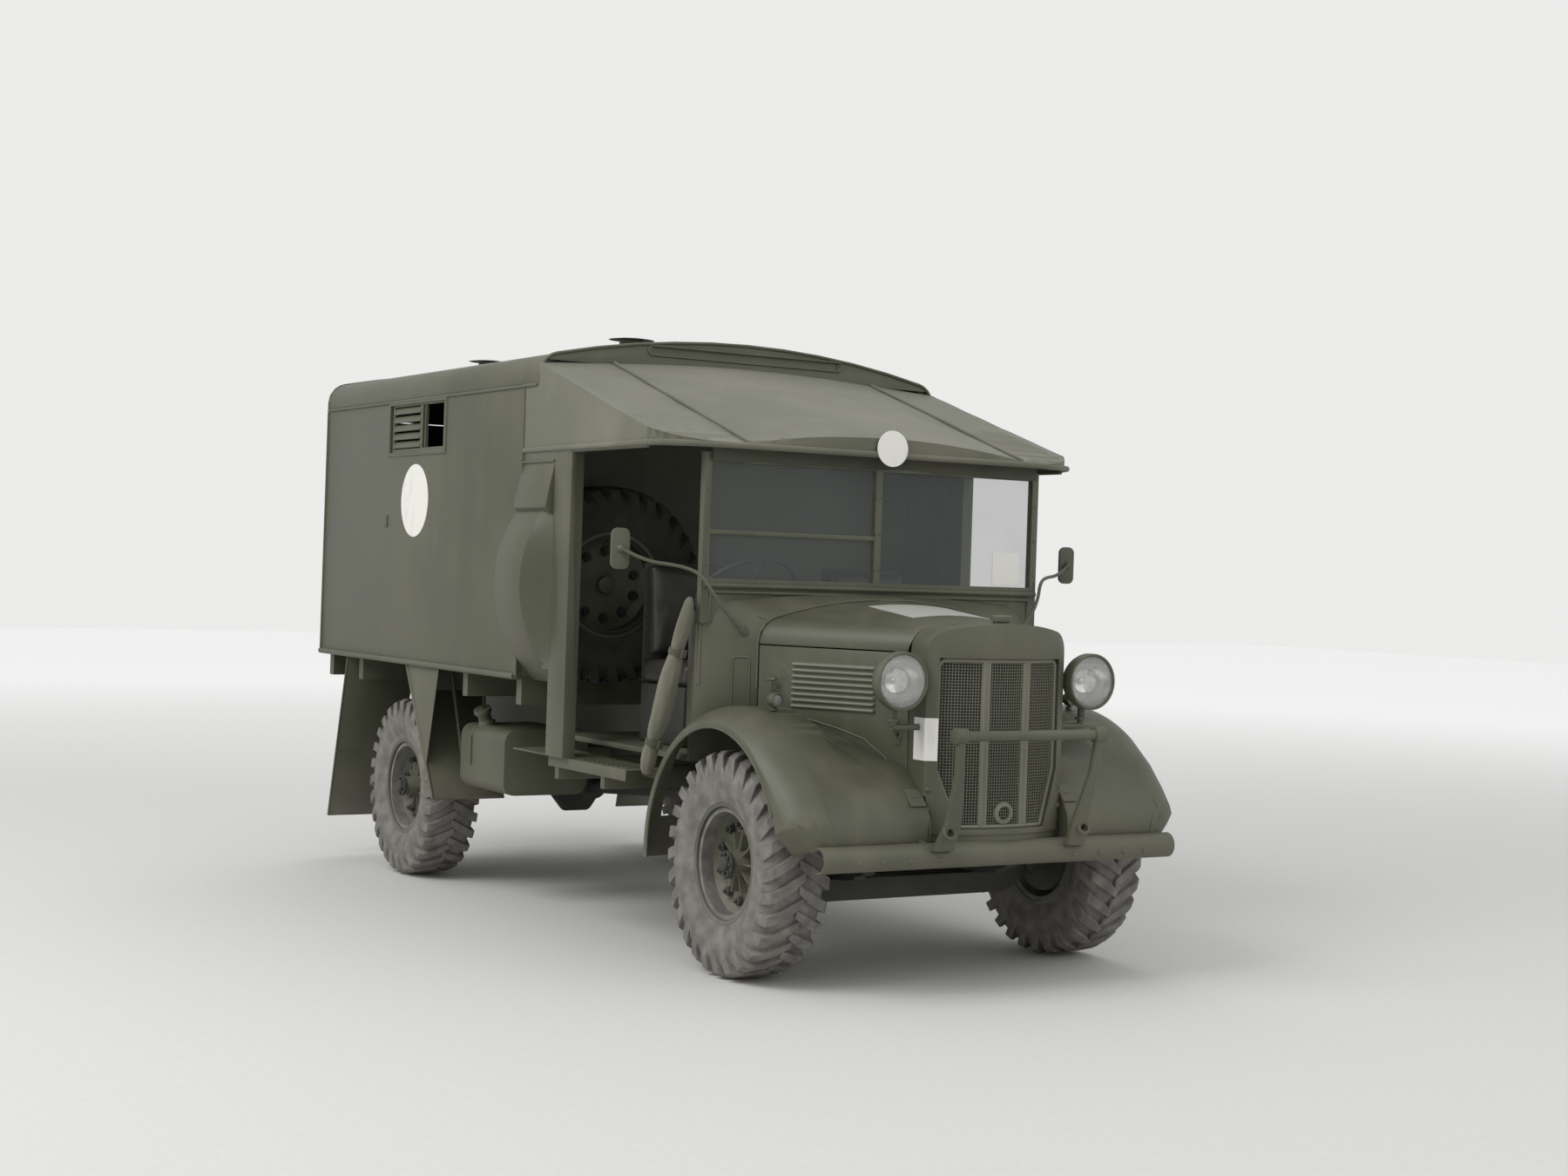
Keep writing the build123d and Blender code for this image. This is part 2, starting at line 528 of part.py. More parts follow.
def hood_body(stations, inset, low_z, mode=Mode.ADD):
    """Loft a closed hood through rows of x, half width, shoulder z, shoulder radius and crown angle."""
    loft([hood_section(x, half - inset, low_z, z, shoulder - inset, lean) for x, half, z, shoulder, lean in stations],
         ruled=True, mode=mode)


def hood_shell(stations, wall, low_z):
    """Loft a hood of sheet metal, open below."""
    hood_body(stations, 0, low_z)
    hood_body(stations, wall, low_z - 10, mode=Mode.SUBTRACT)


# The bonnet is hinged at its rear edge on a short pin under three knuckles
BONNET_STATIONS = [(BONNET_REAR_X, BONNET_REAR_HALF, CREASE_Z + 4, 110, 17),
                   (BONNET_FRONT_X, BONNET_FRONT_HALF, CREASE_Z + 10, 90, 12)]
BONNET_HINGE_X = BONNET_REAR_X - MOVING_GAP / 2
BONNET_HINGE_Z = 1566
KNUCKLE_RADIUS = 6
KNUCKLE_PIN = 3
KNUCKLE_HALF = 20
KNUCKLE_END = 60
CORNER_RELIEF = 14
NOTCH = KNUCKLE_RADIUS + 3
with BuildPart() as bonnet:
    hood_shell(BONNET_STATIONS, BONNET_WALL, CREASE_Z)
    corner_z = CREASE_Z + 48
    side_slab([(BONNET_FRONT_X + 5, CREASE_Z - 5), (BONNET_FRONT_X + 5, corner_z), (BONNET_FRONT_X, corner_z),
               (BONNET_FRONT_X - CORNER_RELIEF, CREASE_Z - 5)], -BONNET_REAR_HALF, BONNET_REAR_HALF, mode=Mode.SUBTRACT)
    block((BONNET_HINGE_X - NOTCH, -KNUCKLE_END - 1, BONNET_HINGE_Z - 20),
          (BONNET_HINGE_X + NOTCH, KNUCKLE_END + 1, BONNET_HINGE_Z + 20), mode=Mode.SUBTRACT)
    block((BONNET_HINGE_X, -KNUCKLE_HALF, BONNET_HINGE_Z - KNUCKLE_RADIUS),
          (BONNET_HINGE_X + NOTCH + 2, KNUCKLE_HALF, BONNET_HINGE_Z))
    rod((BONNET_HINGE_X, -KNUCKLE_HALF, BONNET_HINGE_Z), (BONNET_HINGE_X, KNUCKLE_HALF, BONNET_HINGE_Z), KNUCKLE_RADIUS)
    rod((BONNET_HINGE_X, -KNUCKLE_END, BONNET_HINGE_Z), (BONNET_HINGE_X, KNUCKLE_END, BONNET_HINGE_Z),
        KNUCKLE_PIN + RUNNING_GAP, mode=Mode.SUBTRACT)
save(bonnet, "bonnet")

# Louvres in the upright sides: hooded slots, drawn on the left and mirrored.
# The side runs straight from the scuttle to the shell, so it has one direction.
LOUVRE_COUNT = 8
LOUVRE_TOP_Z = 1304
LOUVRE_PITCH = 25
LOUVRE_REAR_X = 1805
LOUVRE_FRONT_X = 2185
LOUVRE_DEPTH = 11
LOUVRE_DROP = 14
side_run = Vector(BONNET_FRONT_X - BONNET_REAR_X, BONNET_FRONT_HALF - BONNET_REAR_HALF, 0).normalized()
side_out = Vector(-side_run.Y, side_run.X, 0)


def side_point(x):
    """Point on the left upright side above the ground at x."""
    return (x, BONNET_REAR_HALF + (x - BONNET_REAR_X) * side_run.Y / side_run.X)


louvre_length = (LOUVRE_FRONT_X - LOUVRE_REAR_X) / side_run.X
with BuildPart() as bonnet_sides:
    hood_shell(BONNET_STATIONS, BONNET_WALL, SCUTTLE_LOW_Z)
    for number in range(LOUVRE_COUNT):
        top_z = LOUVRE_TOP_Z - LOUVRE_PITCH * number
        for hand in (1, -1):
            start_x, start_y = side_point(LOUVRE_REAR_X)
            run = Vector(side_run.X, side_run.Y * hand, 0)
            out = Vector(side_out.X, side_out.Y * hand, 0)
            start = Vector(start_x, start_y * hand, top_z)
            with BuildSketch(Plane(origin=start, x_dir=out, z_dir=run)) as hood:
                with BuildLine():
                    Polyline((-1, 0), (LOUVRE_DEPTH, -hand * LOUVRE_DROP), (-1, -hand * LOUVRE_DROP), close=True)
                make_face()
            extrude(hood.sketch, amount=louvre_length)
            with BuildSketch(Plane(origin=start, x_dir=out, z_dir=run)) as slot:
                with BuildLine():
                    Polyline((-9, -hand * LOUVRE_DROP + hand), (LOUVRE_DEPTH - 3, -hand * LOUVRE_DROP - hand),
                             (-9, -hand * LOUVRE_DROP - 4 * hand), close=True)
                make_face()
            extrude(slot.sketch, amount=louvre_length, mode=Mode.SUBTRACT)
    block((BONNET_REAR_X - 50, -BONNET_REAR_HALF - 20, CREASE_Z - MOVING_GAP),
          (BONNET_FRONT_X + 50, BONNET_REAR_HALF + 20, CREASE_Z + 330), mode=Mode.SUBTRACT)
    for about in (None, Plane.XZ):
        add(wing_cover if about is None else mirror(wing_cover, about=about), mode=Mode.SUBTRACT)
save(bonnet_sides, "bonnet_sides")

# Scuttle: flares from the bonnet to the windscreen sill, then runs back as flat sides
SCUTTLE_STATIONS = [(BONNET_REAR_X - MOVING_GAP, BONNET_REAR_HALF + 4, CREASE_Z + 4, 114, 17),
                    (SCUTTLE_REAR_X, SCUTTLE_HALF_WIDTH, 1440, 140, 3)]
with BuildPart() as scuttle:
    hood_shell(list(reversed(SCUTTLE_STATIONS)), BONNET_WALL, SCUTTLE_LOW_Z)
    for side in SIDES.values():
        low_y, high_y = sorted((side * (SCUTTLE_HALF_WIDTH - BONNET_WALL), side * SCUTTLE_HALF_WIDTH))
        block((SCUTTLE_REAR_X - 60, low_y, SCUTTLE_LOW_Z), (SCUTTLE_REAR_X, high_y, 1500))
        low_y, high_y = sorted((side * (KNUCKLE_HALF + 2), side * KNUCKLE_END))
        rod((BONNET_HINGE_X, low_y, BONNET_HINGE_Z), (BONNET_HINGE_X, high_y, BONNET_HINGE_Z), KNUCKLE_RADIUS)
        block((BONNET_HINGE_X - NOTCH - 4, low_y, BONNET_HINGE_Z - KNUCKLE_RADIUS), (BONNET_HINGE_X, high_y, BONNET_HINGE_Z))
    block((BONNET_HINGE_X - NOTCH, -KNUCKLE_HALF - 2, BONNET_HINGE_Z - 20),
          (BONNET_HINGE_X + NOTCH, KNUCKLE_HALF + 2, BONNET_HINGE_Z + 20), mode=Mode.SUBTRACT)
    rod((BONNET_HINGE_X, -KNUCKLE_END, BONNET_HINGE_Z), (BONNET_HINGE_X, KNUCKLE_END, BONNET_HINGE_Z), KNUCKLE_PIN)
    for about in (None, Plane.XZ):
        add(wing_cover if about is None else mirror(wing_cover, about=about), mode=Mode.SUBTRACT)
save(scuttle, "scuttle")

# Radiator shell: bowed front with a tapering opening and a filler cap
OPENING_TOP_Z = 1353
OPENING_BEND_Z = 900
OPENING_LOW_Z = 662
OPENING_TOP_HALF = 300
OPENING_LOW_HALF = 215
SHELL_WALL = 22
FILLER_X = SHELL_FRONT_X - 80
SHELL_STATION = (BONNET_FRONT_HALF, CREASE_Z + 10, 90, 12)
shell_axis_x = SHELL_FRONT_X - SHELL_BOW


def grille_opening(margin):
    """Outline of the grille's opening in (y, z), grown by the margin."""
    top, low = OPENING_TOP_HALF + margin, OPENING_LOW_HALF + margin
    return [(-top, OPENING_TOP_Z + margin), (-top, OPENING_BEND_Z), (-low, OPENING_LOW_Z - margin),
            (low, OPENING_LOW_Z - margin), (top, OPENING_BEND_Z), (top, OPENING_TOP_Z + margin)]


with BuildPart() as radiator_shell:
    half, shoulder_z, shoulder, lean = SHELL_STATION
    extrude(hood_section(BONNET_FRONT_X + MOVING_GAP, half, SHELL_LOW_Z, shoulder_z, shoulder, lean),
            amount=SHELL_FRONT_X + 20 - BONNET_FRONT_X)
    with Locations((shell_axis_x, 0, 1100)):
        Cylinder(SHELL_BOW, 1400, mode=Mode.INTERSECT)
    extrude(hood_section(BONNET_FRONT_X, half - SHELL_WALL, SHELL_LOW_Z + SHELL_WALL, shoulder_z, shoulder - SHELL_WALL, lean),
            amount=SHELL_FRONT_X - 110 - BONNET_FRONT_X, mode=Mode.SUBTRACT)
    cross_slab(grille_opening(0), BONNET_FRONT_X, SHELL_FRONT_X + 60, mode=Mode.SUBTRACT)
    for side in SIDES.values():
        low_y, high_y = sorted((side * (RAIL_INNER_Y - 4), side * 500))
        block((BONNET_FRONT_X, low_y, SHELL_LOW_Z - 40), (RAIL_FRONT_X + 2, high_y, RAIL_TOP_Z + 4), mode=Mode.SUBTRACT)
    rod((FILLER_X, 0, 1480), (FILLER_X, 0, 1519), 34)
save(radiator_shell, "radiator_shell")

# Grille: one bowed sheet of crossing bars inside an edge frame, with two upright
# stiffeners and a ring for the starting handle
GRILLE_PITCH = 66
GRILLE_BAR = 7
GRILLE_EDGE = 16
STIFFENER_Y = 99
CRANK_Z = 724
with BuildPart() as grille:
    with BuildSketch(Plane.YZ.offset(BONNET_FRONT_X + 60)) as lattice:
        with BuildLine():
            Polyline(*grille_opening(-SEAT_GAP), close=True)
        make_face()
        with BuildLine():
            Polyline(*grille_opening(-GRILLE_EDGE), close=True)
        make_face(mode=Mode.SUBTRACT)
        middle_z = (OPENING_TOP_Z + OPENING_LOW_Z) / 2
        height = OPENING_TOP_Z - OPENING_LOW_Z
        with Locations((0, middle_z)):
            with GridLocations(GRILLE_PITCH, height, 9, 1):
                Rectangle(GRILLE_BAR, height - GRILLE_EDGE)
            with GridLocations(1, GRILLE_PITCH, 1, 10):
                Rectangle(2 * OPENING_TOP_HALF - GRILLE_EDGE, GRILLE_BAR)
            with GridLocations(2 * STIFFENER_Y, height, 2, 1):
                Rectangle(14, height - GRILLE_EDGE)
        with BuildLine():
            Polyline(*grille_opening(-SEAT_GAP), close=True)
        make_face(mode=Mode.INTERSECT)
        with Locations((0, CRANK_Z)):
            Circle(34)
            Circle(22, mode=Mode.SUBTRACT)
    extrude(lattice.sketch, amount=SHELL_FRONT_X - BONNET_FRONT_X)
    with Locations((shell_axis_x, 0, 1000)):
        Cylinder(SHELL_BOW - 20, 1400, mode=Mode.INTERSECT)
        Cylinder(SHELL_BOW - 26, 1400, mode=Mode.SUBTRACT)
save(grille, "grille")
CORE_FRONT_X = BONNET_FRONT_X + 95
with BuildPart() as radiator_core:
    core_half = BONNET_FRONT_HALF - SHELL_WALL - SEAT_GAP
    block((CORE_FRONT_X - 70, -core_half, SHELL_LOW_Z + SHELL_WALL + SEAT_GAP), (CORE_FRONT_X, core_half, 1340))
save(radiator_core, "radiator_core")

# Windscreen: frame, centre post, split driver's pane and glass
SCREEN_SILL_Z = 1612
POST = 34
DRIVER_SPLIT_Z = 1840
SCREEN_X = SCUTTLE_REAR_X + 20
with BuildPart() as windscreen_frame:
    block((SCREEN_X - 18, -SCREEN_HALF_WIDTH, 1450), (SCREEN_X + 18, SCREEN_HALF_WIDTH, SCREEN_TOP_Z))
    for y_low, y_high in ((-SCREEN_HALF_WIDTH + POST, -POST / 2), (POST / 2, SCREEN_HALF_WIDTH - POST)):
        block((SCREEN_X - 40, y_low, SCREEN_SILL_Z + 30), (SCREEN_X + 40, y_high, SCREEN_TOP_Z - 40), mode=Mode.SUBTRACT)
    block((SCREEN_X - 14, -SCREEN_HALF_WIDTH + POST, DRIVER_SPLIT_Z - 10),
          (SCREEN_X + 14, -POST / 2, DRIVER_SPLIT_Z + 10))
    hood_body(SCUTTLE_STATIONS, -SEAT_GAP, 1200, mode=Mode.SUBTRACT)
save(windscreen_frame, "windscreen_frame")
with BuildPart() as windscreen_glass:
    panes = [(-SCREEN_HALF_WIDTH + POST, -POST / 2, SCREEN_SILL_Z + 30, DRIVER_SPLIT_Z - 10),
             (-SCREEN_HALF_WIDTH + POST, -POST / 2, DRIVER_SPLIT_Z + 10, SCREEN_TOP_Z - 40),
             (POST / 2, SCREEN_HALF_WIDTH - POST, SCREEN_SILL_Z + 30, SCREEN_TOP_Z - 40)]
    for y_low, y_high, z_low, z_high in panes:
        block((SCREEN_X - 3, y_low + SEAT_GAP, z_low + SEAT_GAP),
              (SCREEN_X + 3, y_high - SEAT_GAP, z_high - SEAT_GAP))
save(windscreen_glass, "windscreen_glass")

# Cab floor, toe board, seats and step plates
PILLAR_REAR_X = 476
PILLAR_FRONT_X = 661
TOE_BOARD_X = SCUTTLE_REAR_X - 50
STEP_REAR_X = 440
STEP_FRONT_X = 1240
STEP_TOP_Z = 805
STEP_DEPTH = 50
with BuildPart() as cab_floor:
    block((BODY_FRONT_X + SEAT_GAP, -870, CAB_FLOOR_Z - 25), (TOE_BOARD_X, 870, CAB_FLOOR_Z))
    toe_half = SCUTTLE_HALF_WIDTH - BONNET_WALL - SEAT_GAP
    block((TOE_BOARD_X, -toe_half, CAB_FLOOR_Z - 20), (TOE_BOARD_X + 16, toe_half, 1430))
    block((950, -220, RAIL_TOP_Z + 5), (1400, 220, CAB_FLOOR_Z + 180))
    block((960, -210, RAIL_TOP_Z), (1500, 210, CAB_FLOOR_Z + 170), mode=Mode.SUBTRACT)
    for side in SIDES.values():
        block((300, side * 370 - 30, RAIL_TOP_Z), (360, side * 370 + 30, CAB_FLOOR_Z - 25))
        block((1250, side * 370 - 30, RAIL_TOP_Z), (1310, side * 370 + 30, CAB_FLOOR_Z - 25))
    for side in SIDES.values():
        low_y, high_y = sorted((side * 875, side * (BODY_HALF_WIDTH - 32)))
        block((STEP_REAR_X, low_y, STEP_TOP_Z - STEP_DEPTH), (STEP_FRONT_X, high_y, STEP_TOP_Z))
        block((STEP_REAR_X - 1, low_y + 5, STEP_TOP_Z - STEP_DEPTH - 1), (STEP_FRONT_X + 1, high_y - 5, STEP_TOP_Z - 5),
              mode=Mode.SUBTRACT)
        for x in (STEP_REAR_X + 80, STEP_FRONT_X - 240):
            near, far = sorted((side * (RAIL_OUTER_Y + SEAT_GAP), side * (BODY_HALF_WIDTH - 40)))
            block((x - 20, near, 700), (x + 20, far, STEP_TOP_Z - 5))
save(cab_floor, "cab_floor")
SEAT_Y = 480
with BuildPart() as cab_seats:
    for seat_y in (-SEAT_Y, SEAT_Y):
        block((640, seat_y - 240, CAB_FLOOR_Z), (1080, seat_y + 240, 1150))
        block((620, seat_y - 250, 1150), (1100, seat_y + 250, 1260))
        side_slab([(620, 1260), (740, 1260), (680, 1720), (600, 1720)], seat_y - 230, seat_y + 230)
save(cab_seats, "cab_seats")
STEERING_RADIUS = 225
STEERING_CENTRE = (1190, -SEAT_Y, 1590)
COLUMN_LENGTH = 400
with BuildPart() as steering_wheel:
    column = Plane(origin=STEERING_CENTRE, x_dir=(0, 1, 0), z_dir=(-0.62, 0, 0.78))
    with Locations(column.location):
        Cylinder(38, 50)
    for turn in (0, 120, 240):
        reach = column.x_dir * cos(radians(turn)) + column.y_dir * sin(radians(turn))
        rod(tuple(column.origin), tuple(column.origin + reach * (STEERING_RADIUS - 3)), 8)
    rim = [(STEERING_RADIUS + 13 * cos(radians(a)), 13 * sin(radians(a))) for a in range(0, 360, 60)]
    with BuildSketch(Plane(origin=column.origin, x_dir=column.x_dir, z_dir=column.y_dir)) as rim_section:
        with BuildLine():
            Polyline(*rim, close=True)
        make_face()
    revolve(rim_section.sketch, axis=Axis(column.origin, column.z_dir))
    rod(STEERING_CENTRE, tuple(column.origin - column.z_dir * COLUMN_LENGTH), 20)
    block((TOE_BOARD_X - SEAT_GAP, -600, 1200), (TOE_BOARD_X + 100, -300, 1400), mode=Mode.SUBTRACT)
save(steering_wheel, "steering_wheel")

# Bumper: half-round open-backed section on two dumb irons
BUMPER_DEPTH = 62
BUMPER_WALL = 6
IRON_Y = 386
EYE_X = RAIL_FRONT_X - 3
EYE_Z = 585
EYE_RADIUS = 15


def bumper_form(inset):
    """Solid half-round bar, moved in by the inset and open to the back."""
    middle_z = (BUMPER_LOW_Z + BUMPER_HIGH_Z) / 2
    reach = (BUMPER_HIGH_Z - BUMPER_LOW_Z) / 2 - inset
    back = BUMPER_FACE_X - BUMPER_DEPTH - (2 if inset > 0 else 0)
    with BuildPart() as form:
        with BuildSketch(Plane.XZ.offset(-BUMPER_HALF_WIDTH)):
            with BuildLine():
                ThreePointArc((back, middle_z - reach), (BUMPER_FACE_X - inset, middle_z), (back, middle_z + reach))
                Line((back, middle_z + reach), (back, middle_z - reach))
            make_face()
        extrude(amount=2 * BUMPER_HALF_WIDTH)
    return form.part


with BuildPart() as front_bumper:
    add(bumper_form(0))
    add(bumper_form(BUMPER_WALL), mode=Mode.SUBTRACT)
    for side in SIDES.values():
        side_slab([(EYE_X - 40, 540), (BUMPER_FACE_X - 40, 540), (BUMPER_FACE_X - 40, BUMPER_HIGH_Z),
                   (RAIL_FRONT_X + 10, RAIL_LOW_Z - SEAT_GAP), (EYE_X - 40, RAIL_LOW_Z - SEAT_GAP)],
                  side * IRON_Y - 12, side * IRON_Y + 12)
        rod((EYE_X, side * IRON_Y - 20, EYE_Z), (EYE_X, side * IRON_Y + 20, EYE_Z), EYE_RADIUS, mode=Mode.SUBTRACT)
save(front_bumper, "front_bumper")

# Brush guard: two forged arms, broad and pierced at the foot, with a tube between
# the round bosses at their tips. Rows of an arm: x, y, z, width across, depth.
GUARD_BOSS_Y = 345
ARM_ROWS = [(BUMPER_FACE_X + 6, 330, 590, 96, 40), (BUMPER_FACE_X + 52, 318, 700, 74, 34),
            (BUMPER_FACE_X + 112, 334, 900, 44, 32), (GUARD_TUBE_X, GUARD_BOSS_Y, GUARD_TOP_Z, 34, 34)]
with BuildPart() as brush_guard:
    for side in SIDES.values():
        arm = []
        for x, y, z, width, depth in ARM_ROWS:
            with BuildSketch(Plane.XY.offset(z)) as section:
                with Locations((x, side * y)):
                    RectangleRounded(depth, width, 13)
            arm.append(section.sketch)
        loft(arm, ruled=True)
        rod((GUARD_TUBE_X, side * (GUARD_BOSS_Y - 26), GUARD_TOP_Z), (GUARD_TUBE_X, side * (GUARD_BOSS_Y + 26), GUARD_TOP_Z), 32)
        rod((BUMPER_FACE_X, side * 334, 668), (BUMPER_FACE_X + 90, side * 334, 668), 14, mode=Mode.SUBTRACT)
    rod((GUARD_TUBE_X, -GUARD_BOSS_Y, GUARD_TOP_Z), (GUARD_TUBE_X, GUARD_BOSS_Y, GUARD_TOP_Z), GUARD_TUBE_R)
    add(bumper_form(-SEAT_GAP), mode=Mode.SUBTRACT)
save(brush_guard, "brush_guard")

# Headlamps, side lamps and mirrors. The bowl and lens are drawn round the X axis.
RIM_LIP = 6
LENS_SET = 10
LENS_RADIUS = LAMP_RADIUS - RIM_LIP - SEAT_GAP
BOWL_DEPTH = 170
with BuildPart() as bowl_form:
    with BuildSketch(Plane.XZ):
        with BuildLine():
            Polyline((0, LAMP_RADIUS), (-36, LAMP_RADIUS + 2), (-80, LAMP_RADIUS * 0.84), (-BOWL_DEPTH + 34, LAMP_RADIUS * 0.5),
                     (-BOWL_DEPTH, 22), (-BOWL_DEPTH, 0), (-LENS_SET, 0), (-LENS_SET, LAMP_RADIUS - RIM_LIP),
                     (0, LAMP_RADIUS - RIM_LIP), close=True)
        make_face()
    revolve(axis=Axis.X)
with BuildPart() as lens_form:
    with BuildSketch(Plane.XZ):
        with BuildLine():
            Polyline((14, 0), (11, LENS_RADIUS * 0.45), (-1, LENS_RADIUS), (SEAT_GAP - LENS_SET, LENS_RADIUS),
                     (SEAT_GAP - LENS_SET, 0), close=True)
        make_face()
    revolve(axis=Axis.X)
LAMP_STEM_X = LAMP_X - 70
LAMP_ARM_Z = 1070
WING_LAMP_X = 1960
WING_LAMP_Y = 760
WING_LAMP_Z = 1152
with BuildPart() as lamps:
    for side in SIDES.values():
        rod((LAMP_STEM_X, side * LAMP_Y, LAMP_ARM_Z - 8), (LAMP_STEM_X, side * LAMP_Y, LAMP_Z - 40), 16)
        rod((LAMP_STEM_X, side * (BONNET_FRONT_HALF + SEAT_GAP), LAMP_ARM_Z),
            (LAMP_STEM_X, side * (LAMP_Y + 4), LAMP_ARM_Z), 14)
        add(bowl_form.part.moved(Location((LAMP_X, side * LAMP_Y, LAMP_Z))))
        rod((WING_LAMP_X, side * WING_LAMP_Y, WING_LAMP_Z - 60), (WING_LAMP_X, side * WING_LAMP_Y, WING_LAMP_Z), 12)
    for about in (None, Plane.XZ):
        add(wing_cover if about is None else mirror(wing_cover, about=about), mode=Mode.SUBTRACT)
    for side in SIDES.values():
        rod((WING_LAMP_X - 35, side * WING_LAMP_Y, WING_LAMP_Z), (WING_LAMP_X + 30, side * WING_LAMP_Y, WING_LAMP_Z), 30)
save(lamps, "lamps")
with BuildPart() as headlamp_lenses:
    for side in SIDES.values():
        add(lens_form.part.moved(Location((LAMP_X, side * LAMP_Y, LAMP_Z))))
save(headlamp_lenses, "headlamp_lenses")
MIRROR_X = 1340
MIRROR_Y = BODY_HALF_WIDTH + COVER_REACH - 43
MIRROR_Z = 1755
MIRROR_ARM = [(1590, 700, 1400), (1590, 860, 1570), (1450, 1030, 1690), (MIRROR_X + 10, MIRROR_Y, MIRROR_Z)]
with BuildPart() as mirrors:
    for side in SIDES.values():
        for (x, y, z), (next_x, next_y, next_z) in zip(MIRROR_ARM, MIRROR_ARM[1:]):
            rod((x, side * y, z), (next_x, side * next_y, next_z), 8)
        for x, y, z in MIRROR_ARM[1:-1]:
            with Locations((x, side * y, z)):
                Sphere(8)
        block((MIRROR_X, side * MIRROR_Y - 43, MIRROR_Z - 88), (MIRROR_X + 14, side * MIRROR_Y + 43, MIRROR_Z + 88))
    hood_body(SCUTTLE_STATIONS, -SEAT_GAP, 1200, mode=Mode.SUBTRACT)
save(mirrors, "mirrors")

# Canvas-covered cab roof: a sloping hood, open below, rounded at its front corners.
# Rows: x, z of the side's top edge, z of the piping, z of the crown.
CANOPY_ROWS = [(HEADER_X, 2618, CANOPY_REAR_PIPING_Z, 2668), (CANOPY_FRONT_X, 2216, 2224, 2286)]
CANOPY_CORNER = 200
CANOPY_CORNER_Y = BODY_HALF_WIDTH - 142


def canopy_form(inset, low_z):
    """Solid outer form of the cab roof, moved in by the inset."""
    sections = []
    side_y = BODY_HALF_WIDTH - inset
    for x, side_z, piping_z, crown_z in CANOPY_ROWS:
        with BuildSketch(Plane.YZ.offset(x)) as section:
            with BuildLine():
                Polyline((-CANOPY_PIPING_Y, piping_z - inset), (-side_y, side_z - inset), (-side_y, low_z),
                         (side_y, low_z), (side_y, side_z - inset), (CANOPY_PIPING_Y, piping_z - inset))
                ThreePointArc((CANOPY_PIPING_Y, piping_z - inset), (0, crown_z - inset),
                              (-CANOPY_PIPING_Y, piping_z - inset))
            make_face()
        sections.append(section.sketch)
    front_x = CANOPY_FRONT_X - inset
    corner_x = CANOPY_FRONT_X - CANOPY_CORNER
    bend = (front_x - 42, CANOPY_CORNER_Y - inset)
    with BuildPart() as form:
        loft(sections, ruled=True)
        with BuildSketch(Plane.XY.offset(low_z - 5)) as plan:
            with BuildLine():
                Polyline((corner_x, -side_y), (HEADER_X - 10, -side_y), (HEADER_X - 10, side_y), (corner_x, side_y))
                ThreePointArc((corner_x, side_y), bend, (front_x, CANOPY_PIPING_Y))
                Line((front_x, CANOPY_PIPING_Y), (front_x, -CANOPY_PIPING_Y))
                ThreePointArc((front_x, -CANOPY_PIPING_Y), (bend[0], -bend[1]), (corner_x, -side_y))
            make_face()
        extrude(plan.sketch, amount=900, mode=Mode.INTERSECT)
    return form.part


with BuildPart() as cab_canopy:
    add(canopy_form(0, CANOPY_LOW_Z))
    add(canopy_form(CANOPY_WALL, CANOPY_LOW_Z - 20), mode=Mode.SUBTRACT)
    for side in SIDES.values():
        low_y, high_y = sorted((side * (BODY_HALF_WIDTH - CANOPY_WALL), side * BODY_HALF_WIDTH))
        block((BODY_FRONT_X + SEAT_GAP, low_y, CANOPY_LOW_Z), (HEADER_X + 1, high_y, BODY_EAVES_Z - SEAT_GAP))
save(cab_canopy, "cab_canopy")

# Load space: roof with the header over the cab, which has a long shallow recess
ROOF_SHOULDER_Z = 2560
ROOF_SHOULDER = 110
ROOF_LEAN = 13
HEADER_WALL = 20
RECESS_HALF = 520
RECESS_LOW_Z = 2698
RECESS_HIGH_Z = 2744


def roof_section(x, inset, low_z):
    """Cross-section of the load space's roof at x, moved in by the inset."""
    return hood_section(x, BODY_HALF_WIDTH - inset, low_z, ROOF_SHOULDER_Z, ROOF_SHOULDER - inset, ROOF_LEAN)


with BuildPart() as body_roof:
    extrude(roof_section(BODY_REAR_X + BODY_WALL, 0, BODY_EAVES_Z), amount=HEADER_X - BODY_REAR_X - BODY_WALL)
    extrude(roof_section(BODY_REAR_X, BODY_WALL, BODY_EAVES_Z - 10), amount=HEADER_X - HEADER_WALL - BODY_REAR_X,
            mode=Mode.SUBTRACT)
    block((HEADER_X - HEADER_WALL - 4, -BODY_INNER_Y, CANOPY_LOW_Z), (HEADER_X + 10, BODY_INNER_Y, CANOPY_REAR_PIPING_Z - 5),
          mode=Mode.SUBTRACT)
    block((HEADER_X - 9, -RECESS_HALF, RECESS_LOW_Z), (HEADER_X + 1, RECESS_HALF, RECESS_HIGH_Z), mode=Mode.SUBTRACT)
save(body_roof, "body_roof")

